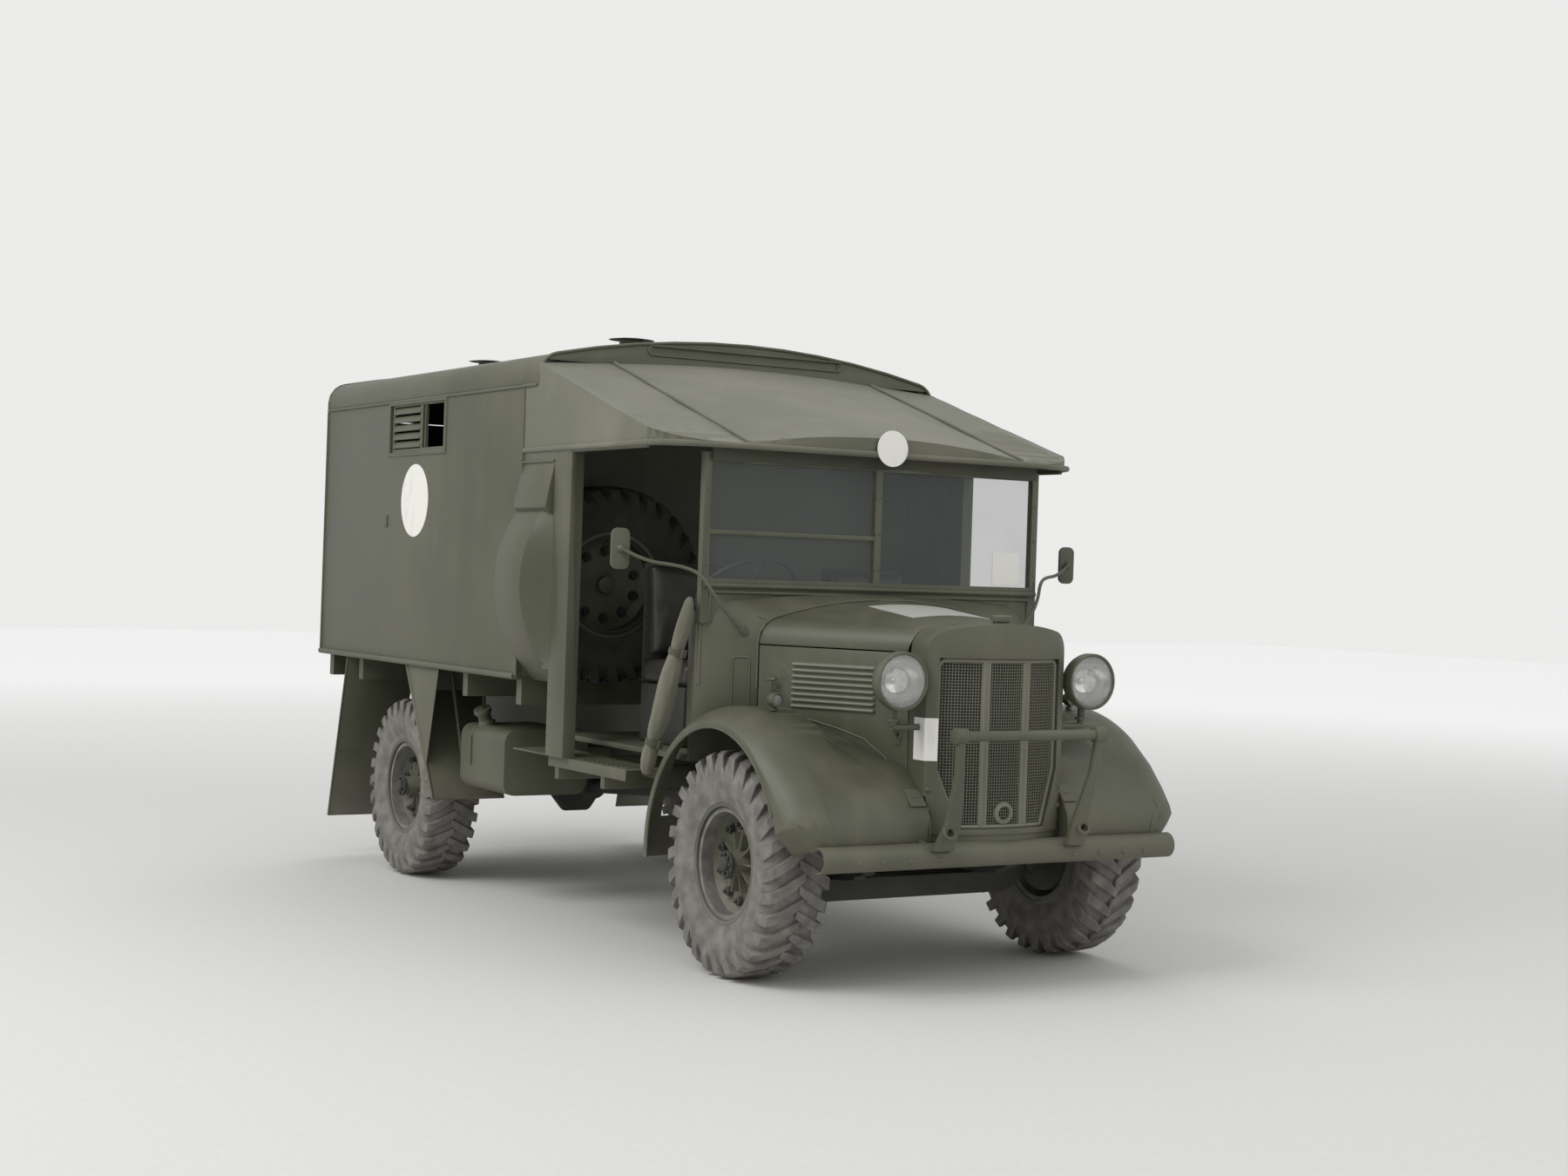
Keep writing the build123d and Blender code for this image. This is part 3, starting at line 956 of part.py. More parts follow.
# Side walls with a window each, framed proud of the panel
WINDOW_X_LOW = -1647
WINDOW_X_HIGH = -875
WINDOW_Z_LOW = 2245
WINDOW_Z_HIGH = 2495
WINDOW_FRAME = 22
WINDOW_PROUD = 7
for side_name, side in SIDES.items():
    low_y, high_y = sorted((side * BODY_INNER_Y, side * BODY_HALF_WIDTH))
    near, far = sorted((side * BODY_INNER_Y, side * (BODY_HALF_WIDTH + WINDOW_PROUD)))
    with BuildPart() as body_side:
        block((BODY_REAR_X + BODY_WALL, low_y, BODY_BOTTOM_Z), (BODY_FRONT_X, high_y, BODY_EAVES_Z))
        block((WINDOW_X_LOW - WINDOW_FRAME, near, WINDOW_Z_LOW - WINDOW_FRAME),
              (WINDOW_X_HIGH + WINDOW_FRAME, far, WINDOW_Z_HIGH + WINDOW_FRAME))
        block((WINDOW_X_LOW, near - 5, WINDOW_Z_LOW), (WINDOW_X_HIGH, far + 5, WINDOW_Z_HIGH), mode=Mode.SUBTRACT)
    save(body_side, f"body_side_{side_name}")

# Shutters: slats in the rear half of each window and an open frame in the other
SHUTTER_SPLIT_X = -1215
SLAT_COUNT = 8
SLAT_PITCH = 28
SHUTTER_RAIL = 22
with BuildPart() as side_shutters:
    for side in SIDES.values():
        middle_y = side * (BODY_HALF_WIDTH - BODY_WALL / 2)
        low_z = WINDOW_Z_LOW + SHUTTER_RAIL
        high_z = WINDOW_Z_HIGH - SHUTTER_RAIL
        block((WINDOW_X_LOW + SEAT_GAP, middle_y - 10, WINDOW_Z_LOW + SEAT_GAP),
              (WINDOW_X_HIGH - SEAT_GAP, middle_y + 10, WINDOW_Z_HIGH - SEAT_GAP))
        block((SHUTTER_SPLIT_X + 15, middle_y - 20, low_z), (WINDOW_X_HIGH - 20, middle_y + 20, high_z), mode=Mode.SUBTRACT)
        block((WINDOW_X_LOW + SHUTTER_RAIL, middle_y - 20, low_z), (SHUTTER_SPLIT_X - 15, middle_y + 20, high_z),
              mode=Mode.SUBTRACT)
        for number in range(SLAT_COUNT):
            z = low_z - 3 + SLAT_PITCH * number
            cross_slab([(middle_y - side * 9, z + 22), (middle_y + side * 9, z), (middle_y + side * 9, z + 5),
                        (middle_y - side * 9, z + 27)], WINDOW_X_LOW + SHUTTER_RAIL - 4, SHUTTER_SPLIT_X - 11)
save(side_shutters, "side_shutters")

# Floor on runners and cross bearers, and the front bulkhead
FLOOR_WALL = 30
BEARER_LOW_Z = 1010
BEARER_XS = [-2580, -2100, -1100, -600, 60]
with BuildPart() as body_floor:
    block((BODY_REAR_X + BODY_WALL, -BODY_INNER_Y, BODY_FLOOR_TOP_Z - FLOOR_WALL),
          (BODY_FRONT_X, BODY_INNER_Y, BODY_FLOOR_TOP_Z))
    for x in BEARER_XS:
        block((x - 30, 12 - BODY_INNER_Y, BEARER_LOW_Z), (x + 30, BODY_INNER_Y - 12, BODY_FLOOR_TOP_Z - FLOOR_WALL))
    for side in SIDES.values():
        low_y, high_y = sorted((side * RAIL_INNER_Y, side * (RAIL_OUTER_Y + 2)))
        block((BODY_REAR_X + BODY_WALL, low_y, RAIL_TOP_Z), (BEARER_XS[-1] + 30, high_y, BEARER_LOW_Z))
        block((BEARER_XS[1], low_y, BEARER_LOW_Z), (BEARER_XS[2], high_y, BODY_FLOOR_TOP_Z - FLOOR_WALL))
save(body_floor, "body_floor")
with BuildPart() as body_bulkhead:
    block((BODY_FRONT_X - BODY_WALL, -BODY_INNER_Y, BODY_FLOOR_TOP_Z), (BODY_FRONT_X, BODY_INNER_Y, BODY_EAVES_Z))
save(body_bulkhead, "body_bulkhead")

# Spare wheel's curved cover with its closing plate, and the stud on the bulkhead
COVER_FRONT_X = SPARE_X + TYRE_WIDTH / 2 + 9
COVER_TOP_Z = 1952
COVER_PLATE_Y = 1040
STUD_FLANGE = 90
with BuildPart() as spare_wheel_well:
    with Locations((COVER_FRONT_X / 2 + BODY_FRONT_X / 2, COVER_AXIS_Y, SPARE_Z)):
        Cylinder(COVER_RADIUS, COVER_FRONT_X - BODY_FRONT_X - SEAT_GAP, rotation=(0, 90, 0))
    with Locations((COVER_FRONT_X / 2 + BODY_FRONT_X / 2 + COVER_WALL + SEAT_GAP, COVER_AXIS_Y, SPARE_Z)):
        Cylinder(COVER_RADIUS - COVER_WALL, COVER_FRONT_X - BODY_FRONT_X, rotation=(0, 90, 0), mode=Mode.SUBTRACT)
    block((BODY_FRONT_X, COVER_AXIS_Y - COVER_RADIUS - 5, BODY_BOTTOM_Z), (COVER_FRONT_X + 5, COVER_AXIS_Y - 300, COVER_TOP_Z),
          mode=Mode.INTERSECT)
    block((BODY_FRONT_X, -COVER_PLATE_Y, BODY_BOTTOM_Z - 5),
          (BODY_FRONT_X + COVER_WALL + 2, COVER_AXIS_Y, COVER_TOP_Z + 5), mode=Mode.SUBTRACT)
    rod((BODY_FRONT_X + SEAT_GAP, SPARE_Y, SPARE_Z), (SPARE_X + 50, SPARE_Y, SPARE_Z), SPARE_BORE - SEAT_GAP)
    rod((BODY_FRONT_X + SEAT_GAP, SPARE_Y, SPARE_Z), (BODY_FRONT_X + 12, SPARE_Y, SPARE_Z), STUD_FLANGE)
save(spare_wheel_well, "spare_wheel_well")

# Door pillars at the back of the cab, side panels and the rail over each doorway
PILLAR_WALL = 6
PILLAR_DEPTH = 60
PILLAR_LOW_Z = STEP_TOP_Z + SEAT_GAP
PILLAR_TOP_Z = CANOPY_LOW_Z - SEAT_GAP
CANT_RADIUS = 9
PANEL_RAIL_Z = 2040
with BuildPart() as cab_pillars:
    for side_name, side in SIDES.items():
        low_y, high_y = sorted((side * (BODY_HALF_WIDTH - PILLAR_WALL), side * BODY_HALF_WIDTH))
        rear_x = PILLAR_REAR_X if side_name == "right" else BODY_FRONT_X + SEAT_GAP
        block((rear_x, low_y, PILLAR_LOW_Z), (PILLAR_FRONT_X, high_y, PILLAR_TOP_Z))
        if side_name == "right":
            block((BODY_FRONT_X + SEAT_GAP, low_y, COVER_TOP_Z + SEAT_GAP), (PILLAR_REAR_X, high_y, PILLAR_TOP_Z))
            rod((BODY_FRONT_X + SEAT_GAP, -BODY_HALF_WIDTH, PANEL_RAIL_Z), (PILLAR_REAR_X, -BODY_HALF_WIDTH, PANEL_RAIL_Z), 7)
        near, far = sorted((side * (BODY_HALF_WIDTH - PILLAR_DEPTH), side * BODY_HALF_WIDTH))
        for x in (PILLAR_REAR_X, PILLAR_FRONT_X - PILLAR_WALL):
            block((x, near, PILLAR_LOW_Z), (x + PILLAR_WALL, far, PILLAR_TOP_Z))
        near, far = sorted((side * 870, side * BODY_HALF_WIDTH))
        block((BODY_FRONT_X + 1, near, PILLAR_LOW_Z), (PILLAR_FRONT_X, far, PILLAR_LOW_Z + PILLAR_WALL))
        rail_y = side * (BODY_HALF_WIDTH - CANT_RADIUS - 1)
        rod((BODY_FRONT_X + SEAT_GAP, rail_y, PILLAR_TOP_Z - CANT_RADIUS),
            (CANOPY_FRONT_X - CANOPY_CORNER, rail_y, PILLAR_TOP_Z - CANT_RADIUS), CANT_RADIUS)
save(cab_pillars, "cab_pillars")

# Rear frame, doors and folding step
DOOR_LOW_Z = 1182
DOOR_HIGH_Z = 2470
DOOR_HALF = BODY_HALF_WIDTH - 222
DOOR_DEPTH = 32
DOOR_WINDOW = [(-200, 1950), (200, 2300)]
HINGE_X = BODY_REAR_X - 12
HINGE_Y = DOOR_HALF + 3
HINGE_HEIGHTS = [1360, 2290]
HINGE_PIN = 5
HINGE_BARREL = 9
HINGE_LEAF = 58
with BuildPart() as body_rear:
    extrude(roof_section(BODY_REAR_X, 0, BODY_BOTTOM_Z), amount=BODY_WALL)
    block((BODY_REAR_X - 5, -DOOR_HALF, DOOR_LOW_Z - MOVING_GAP), (BODY_REAR_X + 40, DOOR_HALF, DOOR_HIGH_Z + MOVING_GAP),
          mode=Mode.SUBTRACT)
    for side in SIDES.values():
        for z in HINGE_HEIGHTS:
            rod((HINGE_X, side * HINGE_Y, z - HINGE_LEAF - 2), (HINGE_X, side * HINGE_Y, z - 2), HINGE_BARREL)
            rod((HINGE_X, side * HINGE_Y, z - 40), (HINGE_X, side * HINGE_Y, z + 50), HINGE_PIN)
            low_y, high_y = sorted((side * HINGE_Y, side * (HINGE_Y + 45)))
            block((HINGE_X, low_y, z - HINGE_LEAF - 2), (BODY_REAR_X + 1, high_y, z - 2))
        low_y, high_y = sorted((side * (DOOR_HALF + 35), side * (DOOR_HALF + 125)))
        block((BODY_REAR_X + 6, low_y, BEARER_LOW_Z), (BODY_REAR_X + 26, high_y, BODY_BOTTOM_Z + 1))
save(body_rear, "body_rear")
for side_name, side in SIDES.items():
    low_y, high_y = sorted((side * 4, side * (DOOR_HALF - MOVING_GAP)))
    window_y = side * DOOR_HALF / 2
    (left_y, low_z), (right_y, high_z) = DOOR_WINDOW
    with BuildPart() as door:
        block((BODY_REAR_X, low_y, DOOR_LOW_Z), (BODY_REAR_X + DOOR_DEPTH, high_y, DOOR_HIGH_Z))
        block((BODY_REAR_X - 5, window_y + left_y, low_z), (BODY_REAR_X + 40, window_y + right_y, high_z),
              mode=Mode.SUBTRACT)
        for z in HINGE_HEIGHTS:
            rod((HINGE_X, side * HINGE_Y, z + 2), (HINGE_X, side * HINGE_Y, z + HINGE_LEAF), HINGE_BARREL)
            near, far = sorted((side * HINGE_Y, side * (DOOR_HALF - 60)))
            block((HINGE_X, near, z + 2), (BODY_REAR_X - 1, far, z + HINGE_LEAF))
            near, far = sorted((side * (DOOR_HALF - MOVING_GAP - 1), side * (DOOR_HALF - 60)))
            block((BODY_REAR_X - 2, near, z + 2), (BODY_REAR_X + 1, far, z + HINGE_LEAF))
            rod((HINGE_X, side * HINGE_Y, z), (HINGE_X, side * HINGE_Y, z + 52), HINGE_PIN + RUNNING_GAP,
                mode=Mode.SUBTRACT)
    save(door, f"rear_door_{side_name}")
    with BuildPart() as pane:
        block((BODY_REAR_X + 13, window_y + left_y + SEAT_GAP, low_z + SEAT_GAP),
              (BODY_REAR_X + 18, window_y + right_y - SEAT_GAP, high_z - SEAT_GAP))
    save(pane, f"rear_door_glass_{side_name}")
RUNG_HEIGHTS = [STEP_HINGE_Z + 54, 870, 980, 1080]
STEP_HALF = 380
STEP_BACK_X = STEP_HINGE_X - 55
with BuildPart() as rear_step:
    for z in RUNG_HEIGHTS:
        block((STEP_BACK_X, -STEP_HALF, z - 12), (STEP_HINGE_X + 10, STEP_HALF, z + 12))
    for y in (-STEP_HALF, STEP_HALF - 15):
        block((STEP_BACK_X, y, STEP_HINGE_Z - 20), (STEP_HINGE_X + 15, y + 15, RUNG_HEIGHTS[-1] + 15))
    rod((STEP_HINGE_X, -STEP_HALF, STEP_HINGE_Z), (STEP_HINGE_X, STEP_HALF, STEP_HINGE_Z), STEP_PIN)
save(rear_step, "rear_step")

# Rear mudguards: front strip, triangular valance and hanging rear flap
GUARD_OUTER_Y = BODY_HALF_WIDTH - 10
with BuildPart() as rear_mudguards:
    for side in SIDES.values():
        low_y, high_y = sorted((side * 700, side * GUARD_OUTER_Y))
        skin_low, skin_high = sorted((side * (GUARD_OUTER_Y - 4), side * GUARD_OUTER_Y))
        side_slab([(-1334, BODY_BOTTOM_Z), (-909, 466), (-905, 469), (-1329, BODY_BOTTOM_Z)], low_y, high_y)
        side_slab([(-1334, BODY_BOTTOM_Z), (-1010, 624), (-880, BODY_BOTTOM_Z)], skin_low, skin_high)
        side_slab([(-2225, BODY_BOTTOM_Z), (-2466, 221), (-2471, 222), (-2230, BODY_BOTTOM_Z)], low_y, high_y)
save(rear_mudguards, "rear_mudguards")

# Roof ventilators
VENTILATORS = [(-110, -450), (-110, 450), (-1900, -450), (-1900, 450)]
VENT_TOP_Z = 2800
with BuildPart() as roof_ventilators:
    for x, y in VENTILATORS:
        rod((x, y, VENT_TOP_Z - 100), (x, y, VENT_TOP_Z), 60)
    extrude(roof_section(BODY_REAR_X, -SEAT_GAP, BODY_EAVES_Z), amount=HEADER_X - BODY_REAR_X, mode=Mode.SUBTRACT)
    for x, y in VENTILATORS:
        with Locations((x, y, VENT_TOP_Z + 4)):
            Cone(115, 60, 8)
save(roof_ventilators, "roof_ventilators")

# Rolled canvas door, strapped to the windscreen post on the driver's side
ROLL_RADIUS = 38
with BuildPart() as canvas_roll:
    rod((SCREEN_X - 190, -SCREEN_HALF_WIDTH - 130, 790),
        (SCREEN_X, -SCREEN_HALF_WIDTH - ROLL_RADIUS - SEAT_GAP, 1560), ROLL_RADIUS)
save(canvas_roll, "canvas_roll")

# Stretcher racks inside the load space
RACK_INNER_Y = 500
with BuildPart() as stretcher_racks:
    for side in SIDES.values():
        for z in (1420, 1950):
            low_y, high_y = sorted((side * RACK_INNER_Y, side * (BODY_INNER_Y - SEAT_GAP)))
            block((-2450, low_y, z), (-450, high_y, z + 25))
        for x in (-2450, -480):
            low_y, high_y = sorted((side * RACK_INNER_Y, side * (RACK_INNER_Y + 30)))
            block((x, low_y, BODY_FLOOR_TOP_Z), (x + 30, high_y, 2430))
save(stretcher_racks, "stretcher_racks")
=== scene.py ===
"""Looks for the heavy ambulance truck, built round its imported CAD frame."""
import json
import logging
from contextlib import contextmanager
from dataclasses import dataclass
from enum import Enum
from math import atan, atan2, cos, degrees, pi, radians, sin
from typing import Callable, Iterable, Iterator, Sequence

import bmesh
import bpy
from mathutils import Matrix, Vector, noise

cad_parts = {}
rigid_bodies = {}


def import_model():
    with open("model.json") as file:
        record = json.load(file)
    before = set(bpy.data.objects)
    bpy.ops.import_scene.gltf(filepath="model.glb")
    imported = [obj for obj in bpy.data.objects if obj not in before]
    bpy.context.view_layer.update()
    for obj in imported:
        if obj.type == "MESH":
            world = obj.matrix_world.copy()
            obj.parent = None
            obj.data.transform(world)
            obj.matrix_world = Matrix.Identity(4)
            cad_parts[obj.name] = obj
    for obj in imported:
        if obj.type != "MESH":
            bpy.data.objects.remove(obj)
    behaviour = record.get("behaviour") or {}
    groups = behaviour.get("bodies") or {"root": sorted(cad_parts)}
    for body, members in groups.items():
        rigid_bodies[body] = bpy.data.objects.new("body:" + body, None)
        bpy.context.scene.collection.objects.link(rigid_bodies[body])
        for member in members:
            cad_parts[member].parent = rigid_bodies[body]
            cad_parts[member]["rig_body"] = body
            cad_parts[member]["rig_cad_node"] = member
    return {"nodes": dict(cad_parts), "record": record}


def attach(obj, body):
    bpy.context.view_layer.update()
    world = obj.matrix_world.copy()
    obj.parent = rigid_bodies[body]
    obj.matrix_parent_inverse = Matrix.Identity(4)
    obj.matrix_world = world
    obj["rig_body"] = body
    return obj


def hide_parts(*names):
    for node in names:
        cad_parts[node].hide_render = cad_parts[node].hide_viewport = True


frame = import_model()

LOG = logging.getLogger("ambulance")
Point = tuple[float, float, float]
Pair = tuple[float, float]
Piece = bpy.types.Object
Colour = tuple[float, float, float]
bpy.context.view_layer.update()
ROOT = "chassis"
SMOOTH_ANGLE = radians(32)
MERGE = 1e-5


class Axis(Enum):
    """Directions that a piece is turned or mirrored about."""

    X = (1.0, 0.0, 0.0)
    Y = (0.0, 1.0, 0.0)
    Z = (0.0, 0.0, 1.0)


class Wire:
    """A shader value that takes part in Python arithmetic."""

    def __init__(self, recipe: "Recipe", socket: bpy.types.NodeSocket) -> None:
        """Keeps the recipe that owns the socket."""
        self.recipe = recipe
        self.socket = socket

    def _math(self, operation: str, *values: "Wire | float") -> "Wire":
        """Adds a Math node on the given values, in order."""
        return self.recipe.node("ShaderNodeMath", {"operation": operation}, dict(enumerate(values)))

    def __add__(self, other: "Wire | float") -> "Wire":
        """Sum."""
        return self._math("ADD", self, other)

    __radd__ = __add__

    def __rsub__(self, other: float) -> "Wire":
        """Difference from a number."""
        return self._math("SUBTRACT", other, self)

    def __mul__(self, other: "Wire | float") -> "Wire":
        """Product."""
        return self._math("MULTIPLY", self, other)

    __rmul__ = __mul__

    def __pow__(self, other: "Wire | float") -> "Wire":
        """Power."""
        return self._math("POWER", self, other)

    def sine(self) -> "Wire":
        """Sine of the value, in radians."""
        return self._math("SINE", self)

    def step(self, low: float, high: float) -> "Wire":
        """Smooth rise from 0 at low to 1 at high.

        Args:
            low: Value where the rise starts; it may be above high for a fall.
            high: Value where it ends.

        Returns:
            The eased value, kept between 0 and 1.
        """
        flip = low > high
        first, last = (high, low) if flip else (low, high)
        eased = self.recipe.node("ShaderNodeMapRange", {"interpolation_type": "SMOOTHSTEP"},
                                 {0: self, 1: first, 2: last, 3: 0.0, 4: 1.0})
        return 1.0 - eased if flip else eased


class Recipe:
    """One material's node tree while it is being written."""

    def __init__(self, name: str) -> None:
        """Starts an empty tree with a Principled shader on its output.

        Args:
            name: The material's name.
        """
        self.material = bpy.data.materials.new(name)
        self.material.use_nodes = True
        self.tree = self.material.node_tree
        self.tree.nodes.clear()
        self.shader = self.tree.nodes.new("ShaderNodeBsdfPrincipled")
        output = self.tree.nodes.new("ShaderNodeOutputMaterial")
        self.tree.links.new(self.shader.outputs[0], output.inputs[0])
        self.place = self.node("ShaderNodeTexCoord", {}, {}, "Object")

    def node(self, kind: str, settings: dict, inputs: dict, output: int | str = 0) -> Wire:
        """Adds a node, sets it, then gives its sockets values or links.

        Args:
            kind: The node's Blender type.
            settings: Properties set first; "stops" holds a ramp's (place, colour) pairs.
            inputs: Socket number or name to a value or a Wire.
            output: Which output the result reads.

        Returns:
            The chosen output.
        """
        made = self.tree.nodes.new(kind)
        for key, value in settings.items():
            if key == "stops":
                for number, (place, shade) in enumerate(value):
                    stops = made.color_ramp.elements
                    stop = stops[number] if number < len(stops) else stops.new(place)
                    stop.position = place
                    stop.color = (*shade, 1.0)
            else:
                setattr(made, key, value)
        for key, value in inputs.items():
            if isinstance(value, Wire):
                self.tree.links.new(value.socket, made.inputs[key])
            else:
                made.inputs[key].default_value = value
        return Wire(self, made.outputs[output])

    def noise(self, scale: float, detail: float = 3.0, stretch: Point = (1.0, 1.0, 1.0)) -> Wire:
        """Noise over Object coordinates.

        Args:
            scale: Waves per metre.
            detail: Octaves.
            stretch: Factor along each axis before the noise is read.

        Returns:
            The noise, about 0 to 1.
        """
        mapped = self.node("ShaderNodeMapping", {}, {"Vector": self.place, "Scale": stretch})
        inputs = {"Vector": mapped, "Scale": scale, "Detail": detail}
        return self.node("ShaderNodeTexNoise", {}, inputs, "Fac")

    def along(self, axis: Axis) -> Wire:
        """Object coordinate along one axis, in metres."""
        return self.node("ShaderNodeSeparateXYZ", {}, {0: self.place}, axis.name)

    def mix(self, factor: "Wire | float", first: "Wire | Colour", second: "Wire | Colour") -> Wire:
        """Blends two colours by a factor."""
        def shade(value: "Wire | Colour") -> "Wire | tuple":
            """Adds alpha to a plain colour."""
            return value if isinstance(value, Wire) else (*value, 1.0)
        inputs = {0: factor, 6: shade(first), 7: shade(second)}
        return self.node("ShaderNodeMix", {"data_type": "RGBA"}, inputs, 2)

    def bump(self, height: Wire, distance: float, strength: float) -> Wire:
        """Bump from a height in the given distance, in metres."""
        inputs = {"Height": height, "Distance": distance, "Strength": strength}
        return self.node("ShaderNodeBump", {}, inputs)

    def finish(self, **sockets: "Wire | float | Colour") -> bpy.types.Material:
        """Feeds the Principled shader.

        Args:
            **sockets: Socket name, with _ for a blank, to its value.

        Returns:
            The finished material.
        """
        for key, value in sockets.items():
            socket = self.shader.inputs[key.replace("_", " ")]
            if isinstance(value, Wire):
                self.tree.links.new(value.socket, socket)
            elif isinstance(value, tuple):
                socket.default_value = (*value, 1.0)
            else:
                socket.default_value = value
        return self.material


@dataclass(frozen=True)
class ServicePaint:
    """Matt service paint with faded patches, rain streaks, road dust and orange peel."""

    name: str
    colour: Colour
    faded: Colour
    dust: Colour = (0.22, 0.21, 0.175)
    dust_top: float = 0.9
    dust_share: float = 0.42
    gloss: float = 0.47

    def make(self) -> bpy.types.Material:
        """Writes the material."""
        mix = Recipe(self.name)
        patches = mix.noise(1.3, 4.0).step(0.35, 0.7)
        streaks = mix.noise(7.0, 4.0, (1.0, 1.0, 0.12)).step(0.45, 0.75)
        specks = mix.noise(90.0, 2.0).step(0.62, 0.78)
        low = mix.along(Axis.Z).step(self.dust_top, 0.05)
        dirt = (low * (0.35 + mix.noise(5.0, 5.0)) + specks * 0.08) * self.dust_share
        body = mix.mix(patches * 0.6 + streaks * 0.35, self.colour, self.faded)
        rough = self.gloss + patches * 0.08 + streaks * 0.06 + dirt * 0.3
        skin = mix.noise(420.0, 2.0) * 0.2 + mix.noise(2.6, 2.0) * 8.0
        return mix.finish(Base_Color=mix.mix(dirt.step(0.0, 0.7), body, self.dust), Roughness=rough,
                          Normal=mix.bump(skin, 0.0005, 0.55))


@dataclass(frozen=True)
class Rubber:
    """Tyre rubber with a paler dust tone mixed in, in clouds."""

    name: str
    colour: Colour
    dust: Colour

    def make(self) -> bpy.types.Material:
        """Writes the material."""
        mix = Recipe(self.name)
        cloud = mix.noise(14.0, 6.0).step(0.3, 0.75)
        fine = mix.noise(160.0, 3.0)
        body = mix.mix(cloud * 0.38 + fine * 0.22 + 0.22, self.colour, self.dust)
        return mix.finish(Base_Color=body, Roughness=0.82 + fine * 0.12,
                          Normal=mix.bump(fine + cloud, 0.0008, 0.5))


@dataclass(frozen=True)
class ProofedCanvas:
    """Painted cotton duck: a close square weave, folds of tone and rubbed places."""

    name: str
    colour: Colour
    rubbed: Colour
    threads: float = 700.0

    def make(self) -> bpy.types.Material:
        """Writes the material."""
        mix = Recipe(self.name)
        warp = (mix.along(Axis.X) * (self.threads * 2 * pi)).sine()
        weft = (mix.along(Axis.Y) * (self.threads * 2 * pi)).sine()
        weave = warp * weft * 0.5 + 0.5
        worn = mix.noise(2.2, 5.0).step(0.35, 0.72)
        slubs = mix.noise(60.0, 3.0, (1.0, 6.0, 1.0))
        body = mix.mix(worn * 0.7 + slubs * 0.25, self.colour, self.rubbed)
        return mix.finish(Base_Color=body, Roughness=0.86 + weave * 0.06, Sheen_Weight=0.15,
                          Normal=mix.bump(weave * 0.5 + mix.noise(9.0, 4.0) * 6.0, 0.0006, 0.7))


@dataclass(frozen=True)
class Leathercloth:
    """Coated seat cloth with a fine pebble grain."""

    name: str
    colour: Colour
    worn: Colour

    def make(self) -> bpy.types.Material:
        """Writes the material."""
        mix = Recipe(self.name)
        inputs = {"Vector": mix.place, "Scale": 330.0}
        grain = mix.node("ShaderNodeTexVoronoi", {}, inputs, "Distance")
        rubbed = mix.noise(6.0, 4.0).step(0.4, 0.75)
        body = mix.mix(rubbed * 0.8, self.colour, self.worn)
        return mix.finish(Base_Color=body, Roughness=0.5 - rubbed * 0.1,
                          Normal=mix.bump(grain, 0.0006, 0.5))


@dataclass(frozen=True)
class ClearGlass:
    """Thin flat glass with a little dust."""

    name: str
    tint: Colour = (0.82, 0.88, 0.86)
    clearness: float = 0.24

    def make(self) -> bpy.types.Material:
        """Writes the material."""
        mix = Recipe(self.name)
        film = mix.noise(3.0, 5.0).step(0.4, 0.9)
        return mix.finish(Base_Color=self.tint, Roughness=0.03 + film * 0.08,
                          Alpha=self.clearness + film * 0.06, Specular_IOR_Level=0.8)


@dataclass(frozen=True)
class Metal:
    """Bare or plated metal with fine wear."""

    name: str
    colour: Colour
    roughness: float
    grain: float = 60.0

    def make(self) -> bpy.types.Material:
        """Writes the material."""
        mix = Recipe(self.name)
        wear = mix.noise(self.grain, 4.0)
        dull = tuple(value * 0.7 for value in self.colour)
        return mix.finish(Base_Color=mix.mix(wear.step(0.35, 0.8), self.colour, dull),
                          Metallic=1.0, Roughness=self.roughness + wear * 0.15,
                          Normal=mix.bump(wear, 0.0002, 0.4))


@dataclass(frozen=True)
class Enamel:
    """Flat pale enamel, slightly chalky and streaked."""

    name: str
    colour: Colour
    stain: Colour

    def make(self) -> bpy.types.Material:
        """Writes the material."""
        mix = Recipe(self.name)
        marks = mix.noise(16.0, 5.0, (1.0, 1.0, 0.3)).step(0.5, 0.85)
        return mix.finish(Base_Color=mix.mix(marks * 0.5, self.colour, self.stain),
                          Roughness=0.45 + marks * 0.2,
                          Normal=mix.bump(mix.noise(300.0, 2.0), 0.0002, 0.4))


@dataclass(frozen=True)
class CoreFins:
    """Dark radiator core: thin upright tubes behind close level fins."""

    name: str
    colour: Colour
    edge: Colour
    fins: float = 380.0
    tubes: float = 90.0

    def make(self) -> bpy.types.Material:
        """Writes the material."""
        mix = Recipe(self.name)
        level = (mix.along(Axis.Z) * (self.fins * 2 * pi)).sine() * 0.5 + 0.5
        upright = (mix.along(Axis.Y) * (self.tubes * 2 * pi)).sine().step(0.7, 0.95)
        return mix.finish(Base_Color=mix.mix(level * 0.6 + upright * 0.4, self.colour, self.edge),
                          Roughness=0.6 + level * 0.2,
                          Normal=mix.bump(level + upright, 0.001, 0.6))


